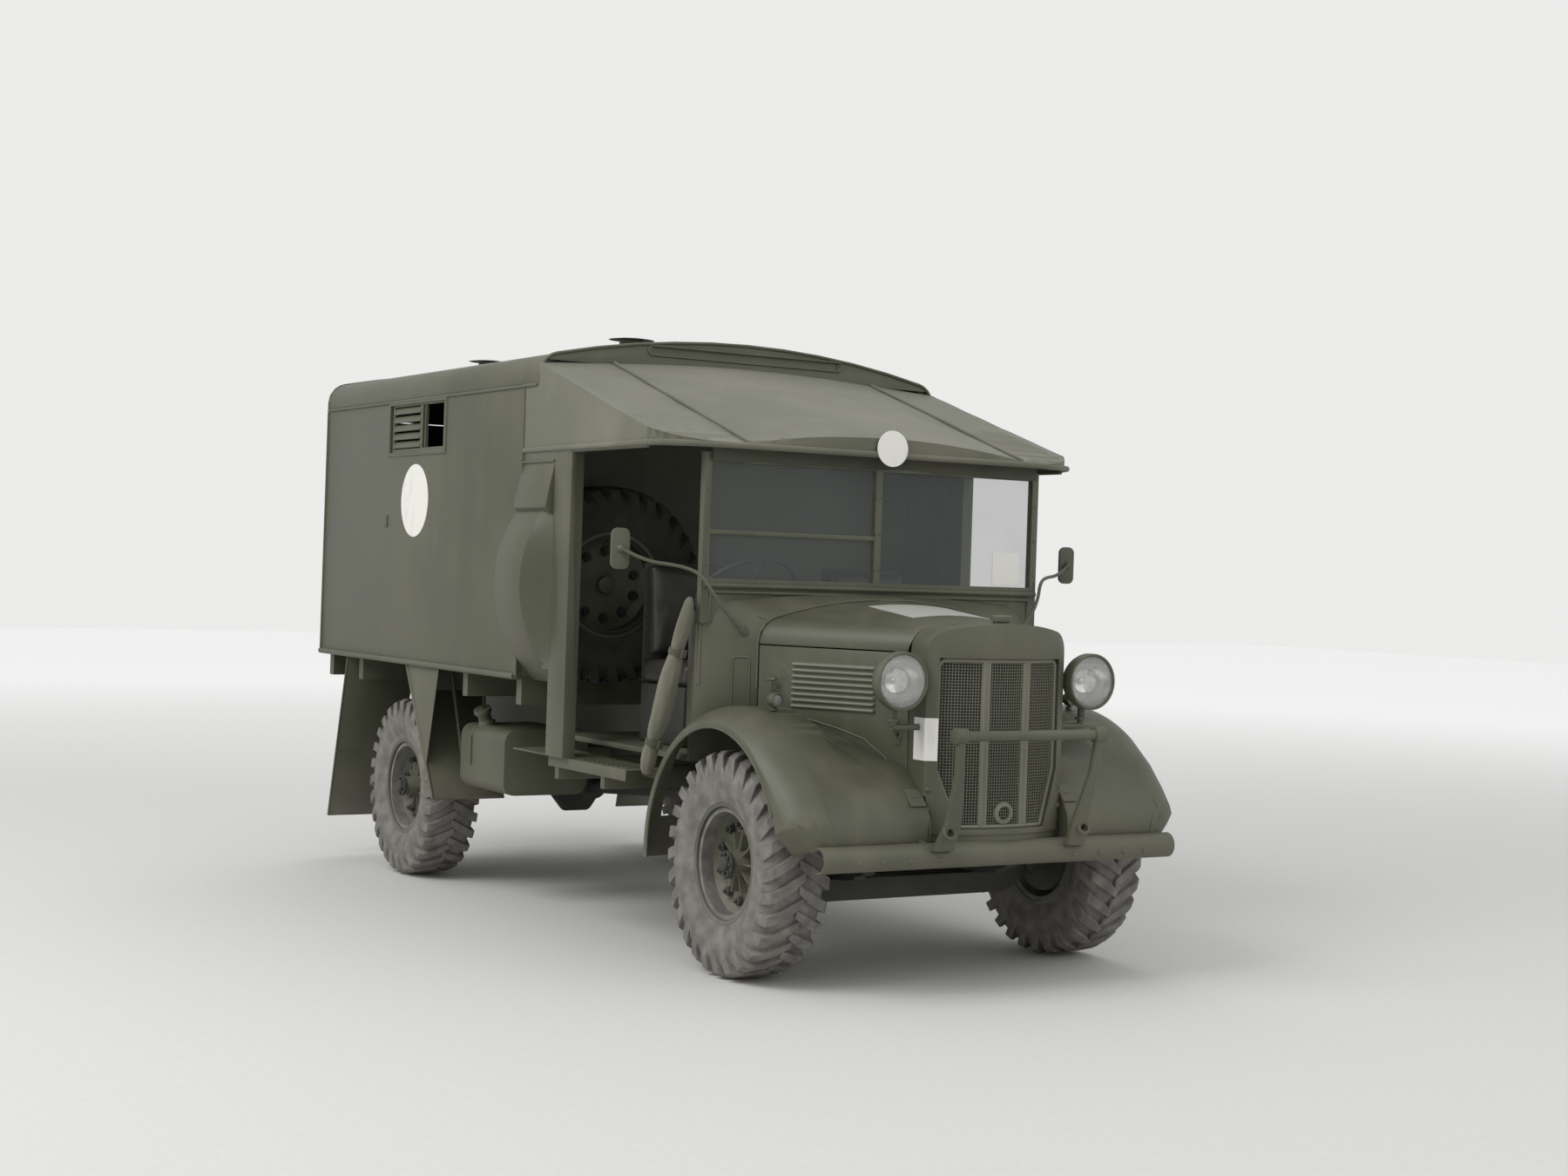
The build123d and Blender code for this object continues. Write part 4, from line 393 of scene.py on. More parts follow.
OLIVE = (0.070, 0.073, 0.045)
OLIVE_FADED = (0.118, 0.117, 0.081)
FINISHES = (
    ServicePaint("olive_paint", OLIVE, OLIVE_FADED),
    ServicePaint("chassis_paint", (0.024, 0.024, 0.020), (0.042, 0.041, 0.034),
                 dust=(0.10, 0.097, 0.085), dust_share=0.6, gloss=0.62),
    ServicePaint("grille_steel", (0.135, 0.138, 0.100), (0.190, 0.188, 0.142), dust_share=0.3),
    # Lighter copy of the olive paint for the louvre lips: a painted highlight where they catch the
    # light from above.
    ServicePaint("worn_paint", (0.150, 0.153, 0.110), (0.210, 0.208, 0.158), dust_share=0.2,
                 gloss=0.42),
    Rubber("tyre_rubber", (0.050, 0.048, 0.044), (0.30, 0.285, 0.255)),
    # Darker copy of the tyre rubber for the spare: painted shade for the shadowed pocket that it
    # sits in.
    Rubber("spare_rubber", (0.018, 0.018, 0.017), (0.055, 0.053, 0.047)),
    ClearGlass("glass", tint=(0.13, 0.15, 0.14), clearness=0.24),
    ClearGlass("lamp_glass", tint=(0.72, 0.73, 0.70), clearness=0.17),
    Leathercloth("seat_leathercloth", (0.022, 0.021, 0.016), (0.050, 0.047, 0.036)),
    CoreFins("core_fins", (0.012, 0.012, 0.012), (0.045, 0.042, 0.036)),
    ProofedCanvas("canvas", (0.110, 0.112, 0.078), (0.165, 0.163, 0.120)),
    # Darker copy of the canvas: the door straps' own darker webbing, and painted shade on the flap
    # under the canopy's hem.
    ProofedCanvas("canvas_dark", (0.050, 0.052, 0.034), (0.085, 0.084, 0.058)),
    Enamel("pale_panel", (0.42, 0.42, 0.38), (0.30, 0.29, 0.25)),
    Enamel("white_enamel", (0.78, 0.77, 0.72), (0.50, 0.47, 0.40)),
    Metal("lamp_silver", (0.64, 0.64, 0.62), 0.10),
    Metal("bright_steel", (0.55, 0.54, 0.50), 0.38),
)
PALETTE = {finish.name: finish for finish in FINISHES}


class Wardrobe:
    """The finished materials, made once each."""

    def __init__(self) -> None:
        """Starts with nothing made."""
        self.made: dict[str, bpy.types.Material] = {}

    def get(self, name: str) -> bpy.types.Material:
        """Returns a finish's material, making it at first use."""
        if name not in self.made:
            self.made[name] = PALETTE[name].make()
        return self.made[name]


WARDROBE = Wardrobe()


class Studio:
    """Camera at the photograph's angle, soft lamps and a pale floor."""

    eye: Vector = Vector((10.0554, -5.4186, 1.6761))
    yaw: float = 0.5855
    pitch: float = -0.005
    roll: float = 0.0332
    lens_px: float = 2601.9
    centre_px: tuple[float, float] = (1059.0, 649.5)
    photo_px: tuple[int, int] = (1800, 1350)
    sensor_mm: float = 36.0
    # Colour and strength of the sky that lights the scene, then of the one that is seen.
    skies: tuple[tuple[Colour, float], ...] = (
        ((0.89, 0.895, 0.90), 0.80), ((0.93, 0.93, 0.92), 0.90))
    # Name, place, target, size in metres, watts.
    lamps: tuple[tuple[str, Point, Point, float, float], ...] = (
        ("key", (1.5, -9.5, 10.0), (0.3, 0.0, 1.0), 7.0, 850.0),
        ("fill", (10.0, 3.0, 7.0), (0.8, 0.0, 1.2), 7.0, 160.0),
        ("back", (-9.0, 4.0, 9.0), (0.0, 0.0, 1.6), 6.0, 200.0))

    def camera(self) -> None:
        """Places the solved camera."""
        level = cos(self.pitch)
        ahead = Vector((-cos(self.yaw) * level, sin(self.yaw) * level, -sin(self.pitch)))
        right = ahead.cross(Vector(Axis.Z.value)).normalized()
        up = right.cross(ahead)
        tilted_right = right * cos(self.roll) + up * sin(self.roll)
        tilted_up = up * cos(self.roll) - right * sin(self.roll)
        bpy.ops.object.camera_add()
        camera = bpy.context.object
        camera.name = "camera"
        camera.matrix_world = Matrix((
            (tilted_right.x, tilted_up.x, -ahead.x, self.eye.x),
            (tilted_right.y, tilted_up.y, -ahead.y, self.eye.y),
            (tilted_right.z, tilted_up.z, -ahead.z, self.eye.z),
            (0.0, 0.0, 0.0, 1.0)))
        width, height = self.photo_px
        camera.data.sensor_width = self.sensor_mm
        camera.data.lens = self.lens_px / width * self.sensor_mm
        camera.data.shift_x = (width / 2 - self.centre_px[0]) / width
        camera.data.shift_y = (self.centre_px[1] - height / 2) / width
        camera.data.clip_start, camera.data.clip_end = 0.1, 200.0
        bpy.context.scene.camera = camera

    def lamp(self, name: str, place: Point, target: Point, size: float, power: float) -> None:
        """Adds a soft area lamp aimed at a point.

        Args:
            name: The lamp's name.
            place: Where it hangs.
            target: What it faces.
            size: Side of its square, in metres.
            power: Watts.
        """
        bpy.ops.object.light_add(type="AREA", location=place)
        lamp = bpy.context.object
        lamp.name = name
        lamp.data.size = size
        lamp.data.energy = power
        aim = Vector(target) - Vector(place)
        lamp.rotation_euler = aim.to_track_quat("-Z", "Y").to_euler()

    def world(self) -> None:
        """Soft pale sky; the camera, through glass too, sees a paler one."""
        world = bpy.data.worlds.new("sky")
        bpy.context.scene.world = world
        world.use_nodes = True
        tree = world.node_tree
        lit, seen = tree.nodes["Background"], tree.nodes.new("ShaderNodeBackground")
        for sky, (shade, strength) in zip((lit, seen), self.skies):
            sky.inputs[0].default_value = (*shade, 1.0)
            sky.inputs[1].default_value = strength
        rays = tree.nodes.new("ShaderNodeLightPath").outputs
        most = tree.nodes.new("ShaderNodeMath")
        most.operation = "MAXIMUM"
        blend = tree.nodes.new("ShaderNodeMixShader")
        for start, end in ((rays["Is Camera Ray"], most.inputs[0]),
                           (rays["Is Transmission Ray"], most.inputs[1]),
                           (most.outputs[0], blend.inputs[0]), (lit.outputs[0], blend.inputs[1]),
                           (seen.outputs[0], blend.inputs[2]),
                           (blend.outputs[0], tree.nodes["World Output"].inputs[0])):
            tree.links.new(start, end)

    def floor(self) -> None:
        """Pale floor with a fine grain, hazier far away for the camera."""
        Bench.deselect()
        bpy.ops.mesh.primitive_plane_add(size=80.0, location=(0.0, 0.0, 0.0))
        floor = bpy.context.object
        floor.name = "floor"
        mix = Recipe("pale_floor")
        grain = mix.noise(30.0, 5.0)
        across, ahead = mix.along(Axis.X), mix.along(Axis.Y)
        away = ((across * across + ahead * ahead) ** 0.5).step(5.0, 22.0)
        near = mix.mix(grain, (0.60, 0.595, 0.58), (0.66, 0.655, 0.64))
        shade = mix.mix(away, near, (0.97, 0.97, 0.96))
        seen = mix.node("ShaderNodeLightPath", {}, {}, "Is Camera Ray")
        haze = mix.mix(seen * away, (0.0, 0.0, 0.0), (0.17, 0.17, 0.165))
        floor.data.materials.append(mix.finish(
            Base_Color=shade, Roughness=0.9, Emission_Color=haze, Emission_Strength=1.0,
            Normal=mix.bump(grain, 0.002, 0.3)))

    def build(self) -> None:
        """Makes the whole studio."""
        bpy.context.scene.view_settings.view_transform = "Standard"
        self.camera()
        self.world()
        self.floor()
        for row in self.lamps:
            self.lamp(*row)


class Bench:
    """Modelling steps shared by every sub-assembly."""

    @staticmethod
    def deselect() -> None:
        """Leaves edit mode and selects nothing."""
        if bpy.context.mode != "OBJECT":
            bpy.ops.object.mode_set(mode="OBJECT")
        bpy.ops.object.select_all(action="DESELECT")

    @staticmethod
    def pick(*pieces: Piece) -> None:
        """Selects only these pieces and makes the first active."""
        Bench.deselect()
        for piece in pieces:
            piece.select_set(True)
        bpy.context.view_layer.objects.active = pieces[0]

    @staticmethod
    @contextmanager
    def editing(outward: bool = False) -> Iterator[None]:
        """Edit mode on the active piece, with all of it selected.

        Args:
            outward: Whether its faces are turned outward at the end.

        Yields:
            Nothing: the edit operators work on the selection.
        """
        bpy.ops.object.mode_set(mode="EDIT")
        bpy.ops.mesh.select_all(action="SELECT")
        yield
        if outward:
            bpy.ops.mesh.select_all(action="SELECT")
            bpy.ops.mesh.normals_make_consistent(inside=False)
        bpy.ops.object.mode_set(mode="OBJECT")

    @staticmethod
    def settle(piece: Piece) -> Piece:
        """Puts the piece's place into its mesh."""
        Bench.pick(piece)
        bpy.ops.object.transform_apply(location=True, rotation=True, scale=True)
        return piece

    @staticmethod
    def modify(piece: Piece, kind: str, **settings: object) -> Piece:
        """Adds a modifier and applies it.

        Args:
            piece: The mesh to change.
            kind: The modifier's Blender type.
            **settings: Its properties.

        Returns:
            The same piece.
        """
        Bench.pick(piece)
        bpy.ops.object.modifier_add(type=kind)
        modifier = piece.modifiers[-1]
        for key, value in settings.items():
            setattr(modifier, key, value)
        bpy.ops.object.modifier_apply(modifier=modifier.name)
        return piece

    @staticmethod
    def smooth(piece: Piece, angle: float = SMOOTH_ANGLE) -> Piece:
        """Shades smoothly up to an angle between faces."""
        Bench.pick(piece)
        bpy.ops.object.shade_smooth_by_angle(angle=angle)
        return piece

    @staticmethod
    def soften(piece: Piece, width: float, segments: int = 2) -> Piece:
        """Rounds the hard edges and shades the piece."""
        Bench.modify(piece, "BEVEL", width=width, segments=segments, limit_method="ANGLE",
                     angle_limit=radians(35), harden_normals=False)
        return Bench.smooth(piece)

    @staticmethod
    def block(name: str, low: Point, high: Point) -> Piece:
        """Box between two corners."""
        Bench.deselect()
        middle = (Vector(low) + Vector(high)) / 2
        bpy.ops.mesh.primitive_cube_add(size=1.0, location=middle)
        piece = bpy.context.object
        piece.name = name
        piece.scale = Vector(high) - Vector(low)
        return Bench.settle(piece)

    @staticmethod
    def rod(name: str, start: Point, end: Point, radius: float, sides: int = 24,
            end_radius: float | None = None) -> Piece:
        """Round bar or cone between two points."""
        Bench.deselect()
        along = Vector(end) - Vector(start)
        tip = radius if end_radius is None else end_radius
        bpy.ops.mesh.primitive_cone_add(vertices=sides, radius1=radius, radius2=tip,
                                        depth=along.length,
                                        location=(Vector(start) + Vector(end)) / 2)
        piece = bpy.context.object
        piece.name = name
        piece.rotation_euler = along.to_track_quat("Z", "Y").to_euler()
        return Bench.settle(piece)

    @staticmethod
    def chain(name: str, points: Sequence[Point], closed: bool = False) -> Piece:
        """Line of edges drawn by extruding one vertex from point to point.

        Args:
            name: The piece's name.
            points: The corners.
            closed: Whether the line is closed and filled with a face.

        Returns:
            The drawn piece.
        """
        Bench.deselect()
        bpy.ops.mesh.primitive_plane_add(size=0.01, location=points[0])
        piece = bpy.context.object
        piece.name = name
        Bench.settle(piece)
        with Bench.editing():
            bpy.ops.mesh.merge(type="CENTER")
            for before, after in zip(points, points[1:]):
                step = Vector(after) - Vector(before)
                bpy.ops.mesh.extrude_vertices_move(TRANSFORM_OT_translate={"value": step})
            bpy.ops.mesh.select_all(action="SELECT")
            if closed:
                bpy.ops.mesh.edge_face_add()
        return piece

    @staticmethod
    def slab(name: str, outline: Sequence[Point], depth: Point) -> Piece:
        """Closed outline extruded by a vector."""
        piece = Bench.chain(name, outline, closed=True)
        with Bench.editing(outward=True):
            bpy.ops.mesh.extrude_region_move(TRANSFORM_OT_translate={"value": Vector(depth)})
        return piece

    @staticmethod
    def lathe(name: str, profile: Sequence[Point], centre: Point, axis: Point, steps: int,
              closed: bool = False) -> Piece:
        """Profile spun a full turn about an axis."""
        line = [*profile, profile[0]] if closed else list(profile)
        piece = Bench.chain(name, line)
        with Bench.editing(outward=True):
            if closed:
                bpy.ops.mesh.remove_doubles(threshold=MERGE)
            bpy.ops.mesh.spin(steps=steps, angle=2 * pi, center=centre, axis=axis)
            bpy.ops.mesh.select_all(action="SELECT")
            bpy.ops.mesh.remove_doubles(threshold=MERGE)
        return piece

    @staticmethod
    def curve(name: str, lines: Sequence[Sequence[Point]], radius: float, rounding: int,
              closed: bool = False, smooth: bool = False) -> Piece:
        """Bars along lines, as one mesh.

        Args:
            name: The piece's name.
            lines: The points of each line.
            radius: Half of a bar's thickness.
            rounding: Points added in each quarter of its section; 0 makes it square.
            closed: Whether each line runs back to its start.
            smooth: Whether the corners are rounded off.

        Returns:
            The bars.
        """
        Bench.deselect()
        bpy.ops.curve.primitive_nurbs_path_add(location=(0.0, 0.0, 0.0))
        piece = bpy.context.object
        piece.name = name
        curve = piece.data
        curve.splines.clear()
        for line in lines:
            spline = curve.splines.new("NURBS" if smooth else "POLY")
            spline.points.add(len(line) - 1)
            for point, place in zip(spline.points, line):
                point.co = (*place, 1.0)
            if smooth:
                spline.order_u = 3
                spline.use_endpoint_u = not closed
            spline.use_cyclic_u = closed
        curve.bevel_depth = radius
        curve.bevel_resolution = rounding
        curve.use_fill_caps = True
        curve.resolution_u = 8
        Bench.pick(piece)
        bpy.ops.object.convert(target="MESH")
        return piece

    @staticmethod
    def tube(name: str, points: Sequence[Point], radius: float, closed: bool = False,
             smooth: bool = False) -> Piece:
        """Round tube along a poly or smooth line."""
        return Bench.smooth(Bench.curve(name, [points], radius, 4, closed, smooth))

    @staticmethod
    def tubes(lines: Iterable[tuple[Sequence[Point], float]], name: str) -> Piece:
        """Tubes along lines, each with its own radius, as one piece."""
        return Bench.join([Bench.tube("tube", line, radius) for line, radius in lines], name)

    @staticmethod
    def turned(name: str, profile: Sequence[Pair], steps: int, axis: Axis = Axis.X,
               closed: bool = False) -> Piece:
        """Profile of (x, z) points spun about an axis through the origin."""
        line = [(x, 0.0, z) for x, z in profile]
        return Bench.lathe(name, line, (0.0, 0.0, 0.0), axis.value, steps, closed)

    @staticmethod
    def laid(name: str, columns: int, rows: int,
             place: Callable[[float, float], Point]) -> Piece:
        """Grid laid by a rule.

        Args:
            name: The piece's name.
            columns: Faces one way.
            rows: Faces the other way.
            place: Gives each point its place, from two shares between -0.5 and 0.5.

        Returns:
            The laid grid.
        """
        Bench.deselect()
        bpy.ops.mesh.primitive_grid_add(x_subdivisions=columns, y_subdivisions=rows, size=1.0)
        piece = bpy.context.object
        piece.name = name
        for vertex in piece.data.vertices:
            vertex.co = place(vertex.co.x, vertex.co.y)
        return piece

    @staticmethod
    def copies(piece: Piece, moves: Iterable[Matrix], name: str) -> Piece:
        """Copies a piece to each place, each with its own mesh, and joins them.

        Args:
            piece: The piece made once, in its own frame; it is used up.
            moves: A matrix for each copy.
            name: The joined piece's name.

        Returns:
            The joined piece.
        """
        made = [Bench.twin(piece, move, name) for move in moves]
        bpy.data.objects.remove(piece)
        return Bench.join(made, name)

    @staticmethod
    def twin(piece: Piece, move: Matrix, name: str) -> Piece:
        """One copy of a piece with its own mesh, moved, with its faces outward."""
        made = piece.copy()
        made.data = piece.data.copy()
        bpy.context.scene.collection.objects.link(made)
        made.data.transform(move)
        if move.determinant() < 0:
            made.data.flip_normals()
        made.name = name
        return made

    @staticmethod
    def studs(name: str, rows: Sequence[tuple[Point, Vector]], radius: float,
              height: float) -> Piece:
        """Domed heads at places, each standing along its own direction."""
        dome = [(0.0, 1.0), (0.5, 0.85), (0.88, 0.45), (1.0, 0.0), (1.0, -1.0)]
        head = Bench.turned("head", [(radius * x, height * z) for x, z in dome], 12, Axis.Z)
        moves = [Matrix.Translation(place) @ facing(ahead) for place, ahead in rows]
        return Bench.smooth(Bench.copies(head, moves, name), radians(60))

    @staticmethod
    def join(pieces: Sequence[Piece], name: str) -> Piece:
        """Joins pieces into one object."""
        Bench.pick(*pieces)
        if len(pieces) > 1:
            bpy.ops.object.join()
        whole = bpy.context.object
        whole.name = name
        return whole

    @staticmethod
    def cad_copy(node: str, width: float) -> Piece:
        """Copy of a CAD node with merged corners and rounded edges.

        Args:
            node: The node to copy.
            width: Width of the rounded edges, in metres.

        Returns:
            The copy, which doesn't stand for the node yet.
        """
        Bench.deselect()
        twin = frame["nodes"][node].copy()
        twin.data = twin.data.copy()
        twin.parent = None
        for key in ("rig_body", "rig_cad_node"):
            if key in twin:
                del twin[key]
        bpy.context.scene.collection.objects.link(twin)
        twin.name = f"{node}_skin"
        Bench.pick(twin)
        with Bench.editing():
            bpy.ops.mesh.remove_doubles(threshold=2 * MERGE)
            bpy.ops.mesh.dissolve_limited(angle_limit=radians(1.0))
        if width > 0:
            Bench.modify(twin, "BEVEL", width=width, segments=2, limit_method="ANGLE",
                         angle_limit=radians(40))
        return Bench.smooth(twin)

    @staticmethod
    def place(piece: Piece, finish: str = "olive_paint", body: str = ROOT,
              *nodes: str) -> None:
        """Gives a finished piece its finish and body, and hides the CAD nodes that it stands for.

        Args:
            piece: The finished mesh.
            finish: Name of its finish.
            body: CAD body that it rides on.
            *nodes: CAD nodes that it replaces.
        """
        piece.data.materials.clear()
        piece.data.materials.append(WARDROBE.get(finish))
        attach(piece, body)
        finish if finish in SLOTS else SHARED.get(finish, "olive_paint")
        if nodes:
            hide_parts(*nodes)
        LOG.info("%s on %s", piece.name, body)

    @staticmethod
    def both(piece: Piece, name: str, finish: str = "olive_paint", *nodes: str) -> None:
        """Places a left piece and its mirror image on the chassis as one object."""
        Bench.place(Bench.copies(piece, MIRRORED, name), finish, ROOT, *nodes)


SLOTS = [material["slot"] for material in frame["record"]["materials"]]
SHARED = {"spare_rubber": "tyre_rubber"}
HOME = {part["node"]: part["material_slot"] for part in frame["record"]["subparts"]}
CARRIER = {node: body for body, nodes in frame["record"]["behaviour"]["bodies"].items()
           for node in nodes}
HANDS = (-1, 1)
MIRRORED = (Matrix.Identity(4), Matrix.Scale(-1.0, 4, Axis.Y.value))
TYRE_RADIUS = 0.470
FRONT_AXLE = (1.845, TYRE_RADIUS)
# Node pattern, middle of the wheel, turn about Z in degrees, reach of its hub.
WHEELS = [
    ("front_{}_right", (1.845, -0.800, TYRE_RADIUS), -90, 0.100),
    ("front_{}_left", (1.845, 0.800, TYRE_RADIUS), 90, 0.100),
    ("rear_{}_right", (-1.559, -0.885, TYRE_RADIUS), -90, 0.128),
    ("rear_{}_left", (-1.559, 0.885, TYRE_RADIUS), 90, 0.128),
    ("spare_{}", (0.256, -0.740, 1.590), 0, 0.0),
]
BODY_SIDE, BODY_REAR, BODY_LOW = 1.102, -2.661, 1.150
COVER_RADIUS, COVER_BULGE, COVER_Z = 0.595, 0.124, 1.590
TANK_TOP = 0.865
HEADER = 0.263
BONNET_REAR, BONNET_FRONT = 1.640, 2.336
BONNET_HALF, BONNET_TAPER, BONNET_RUN = 0.655, 0.31, 0.696
COWL_REAR, COWL_FRONT = (1.573, 0.748, 1.0), (1.616, 0.688, 1.0)
SCREEN_FRONT = 1.5015
CANVAS_EDGE_Z, CANVAS_FRONT = 2.210, 1.602


def bow(y: float, reach: float = 0.640) -> float:
    """Forward place of the bowed radiator front at a distance y from the middle."""
    return 1.922 + (reach * reach - y * y) ** 0.5


def bonnet_side(x: float, proud: float = 0.0) -> float:
    """Distance of the bonnet's upright side from the middle at x, standing proud of it."""
    return BONNET_HALF - (x - BONNET_REAR) * BONNET_TAPER / BONNET_RUN + proud


def crown(x: float, y: float) -> float:
    """Height of the bonnet's top skin at a place near its middle."""
    share = (x - BONNET_REAR) / (BONNET_FRONT - BONNET_REAR)
    top, radius = 1.5655 - share * 0.0687, 1.974 - share * 0.657
    return top - (radius - (radius * radius - y * y) ** 0.5)


def circle(radius: float, count: int, parts: int, start: float = 0.0) -> list[Pair]:
    """Points round the origin.

    Args:
        radius: Their distance from it.
        count: How many there are.
        parts: How many would fill the whole turn.
        start: Angle of the first, in radians.

    Returns:
        The points, anticlockwise.
    """
    angles = [start + 2 * pi * number / parts for number in range(count)]
    return [(radius * cos(angle), radius * sin(angle)) for angle in angles]


def rounded(quarter: Sequence[Pair]) -> list[Pair]:
    """Whole outline from the points of its upper right quarter."""
    upper = [*quarter, *[(-u, v) for u, v in reversed(quarter)]]
    return [*upper, *[(-u, -v) for u, v in upper]]


def facing(direction: Vector) -> Matrix:
    """Turn that lays +Z along a direction."""
    return direction.to_track_quat("Z", "Y").to_matrix().to_4x4()


def standing(centre: Point, turn: float) -> Matrix:
    """Move of a wheel's piece, drawn round +X, to its centre, turned by degrees about Z."""
    return Matrix.Translation(centre) @ Matrix.Rotation(radians(turn), 4, "Z")


def either_side(place: Point) -> list[Matrix]:
    """Moves to a place on the right and to the same place on the left."""
    x, y, z = place
    return [Matrix.Translation((x, hand * y, z)) for hand in HANDS]


def roof_line(half: float, shoulder_z: float, shoulder: float, lean_deg: float,
              low_z: float) -> list[Pair]:
    """Outline of a hood's cross-section from one low edge over the top to the other.

    Args:
        half: Half of its width.
        shoulder_z: Height where the shoulder starts.
        shoulder: Radius of the shoulder.
        lean_deg: Slope at which the crown leaves the shoulder.
        low_z: Height of the low edges.

    Returns:
        Points (y, z) from the right to the left.
    """
    lean = radians(lean_deg)
    middle = half - shoulder
    end_y, end_z = middle + shoulder * sin(lean), shoulder_z + shoulder * cos(lean)
    radius = end_y / sin(lean)
    left = [(half, low_z), (half, shoulder_z)]
    left += [(middle + shoulder * cos(a), shoulder_z + shoulder * sin(a))
             for a in (0.4, 0.8, 1.1, pi / 2 - lean)]
    left += [(end_y * k, end_z + (radius * radius - (end_y * k) ** 2) ** 0.5 - radius * cos(lean))
             for k in (0.8, 0.6, 0.4, 0.2)]
    top = [(0.0, end_z + radius - radius * cos(lean))]
    return [(-y, z) for y, z in left] + top + list(reversed(left))


class Carried:
    """The CAD nodes that stay as they are and get their finishes."""

    def dress(self) -> None:
        """Gives every CAD node the material of its slot."""
        for name, slot in HOME.items():
            node = frame["nodes"][name]
            node.data.materials.clear()
            node.data.materials.append(WARDROBE.get(slot))


@dataclass(frozen=True)
class SoftEdges:
    """CAD forms that stay as they are but get rounded edges."""

    widths: tuple[tuple[float, tuple[str, ...]], ...] = (
        (0.0010, ("bonnet", "bonnet_sides", "scuttle", "front_wing_right", "front_wing_left",
                  "rear_mudguards", "cab_pillars", "spare_wheel_well")),
        (0.0020, ("chassis_frame", "front_bumper", "windscreen_frame", "radiator_shell",
                  "cab_floor", "rear_step", "front_wheel_right", "front_wheel_left",
                  "rear_wheel_right", "rear_wheel_left", "spare_wheel")),
        (0.0030, ("body_side_right", "body_side_left", "body_rear", "rear_door_right",
                  "rear_door_left", "body_roof", "brush_guard", "roof_ventilators", "fuel_tank",
                  "stretcher_racks", "front_axle")),
    )
    wings: tuple[str, ...] = ("front_wing_right", "front_wing_left")
    tuck_from_deg: float = 22.0
    tuck_over_deg: float = 8.5
    tuck_back: float = 0.047
    tuck_down: float = 0.044

    def tuck(self, wing: Piece) -> None:
        """Curls a wing's front edge down behind the bumper."""
        axle_x, axle_z = FRONT_AXLE
        for vertex in wing.data.vertices:
            ahead, up = vertex.co.x - axle_x, vertex.co.z - axle_z
            past = (self.tuck_from_deg - degrees(atan2(up, ahead))) / self.tuck_over_deg
            share = min(1.0, max(0.0, past)) if ahead > 0.3 else 0.0
            vertex.co.x -= self.tuck_back * share * share
            vertex.co.z -= self.tuck_down * share

    def build(self) -> None:
        """Puts a softened copy in the place of each node."""
        for width, nodes in self.widths:
            for node in nodes:
                piece = Bench.cad_copy(node, width)
                if node in self.wings:
                    self.tuck(piece)
                Bench.place(piece, HOME[node], CARRIER[node], node)


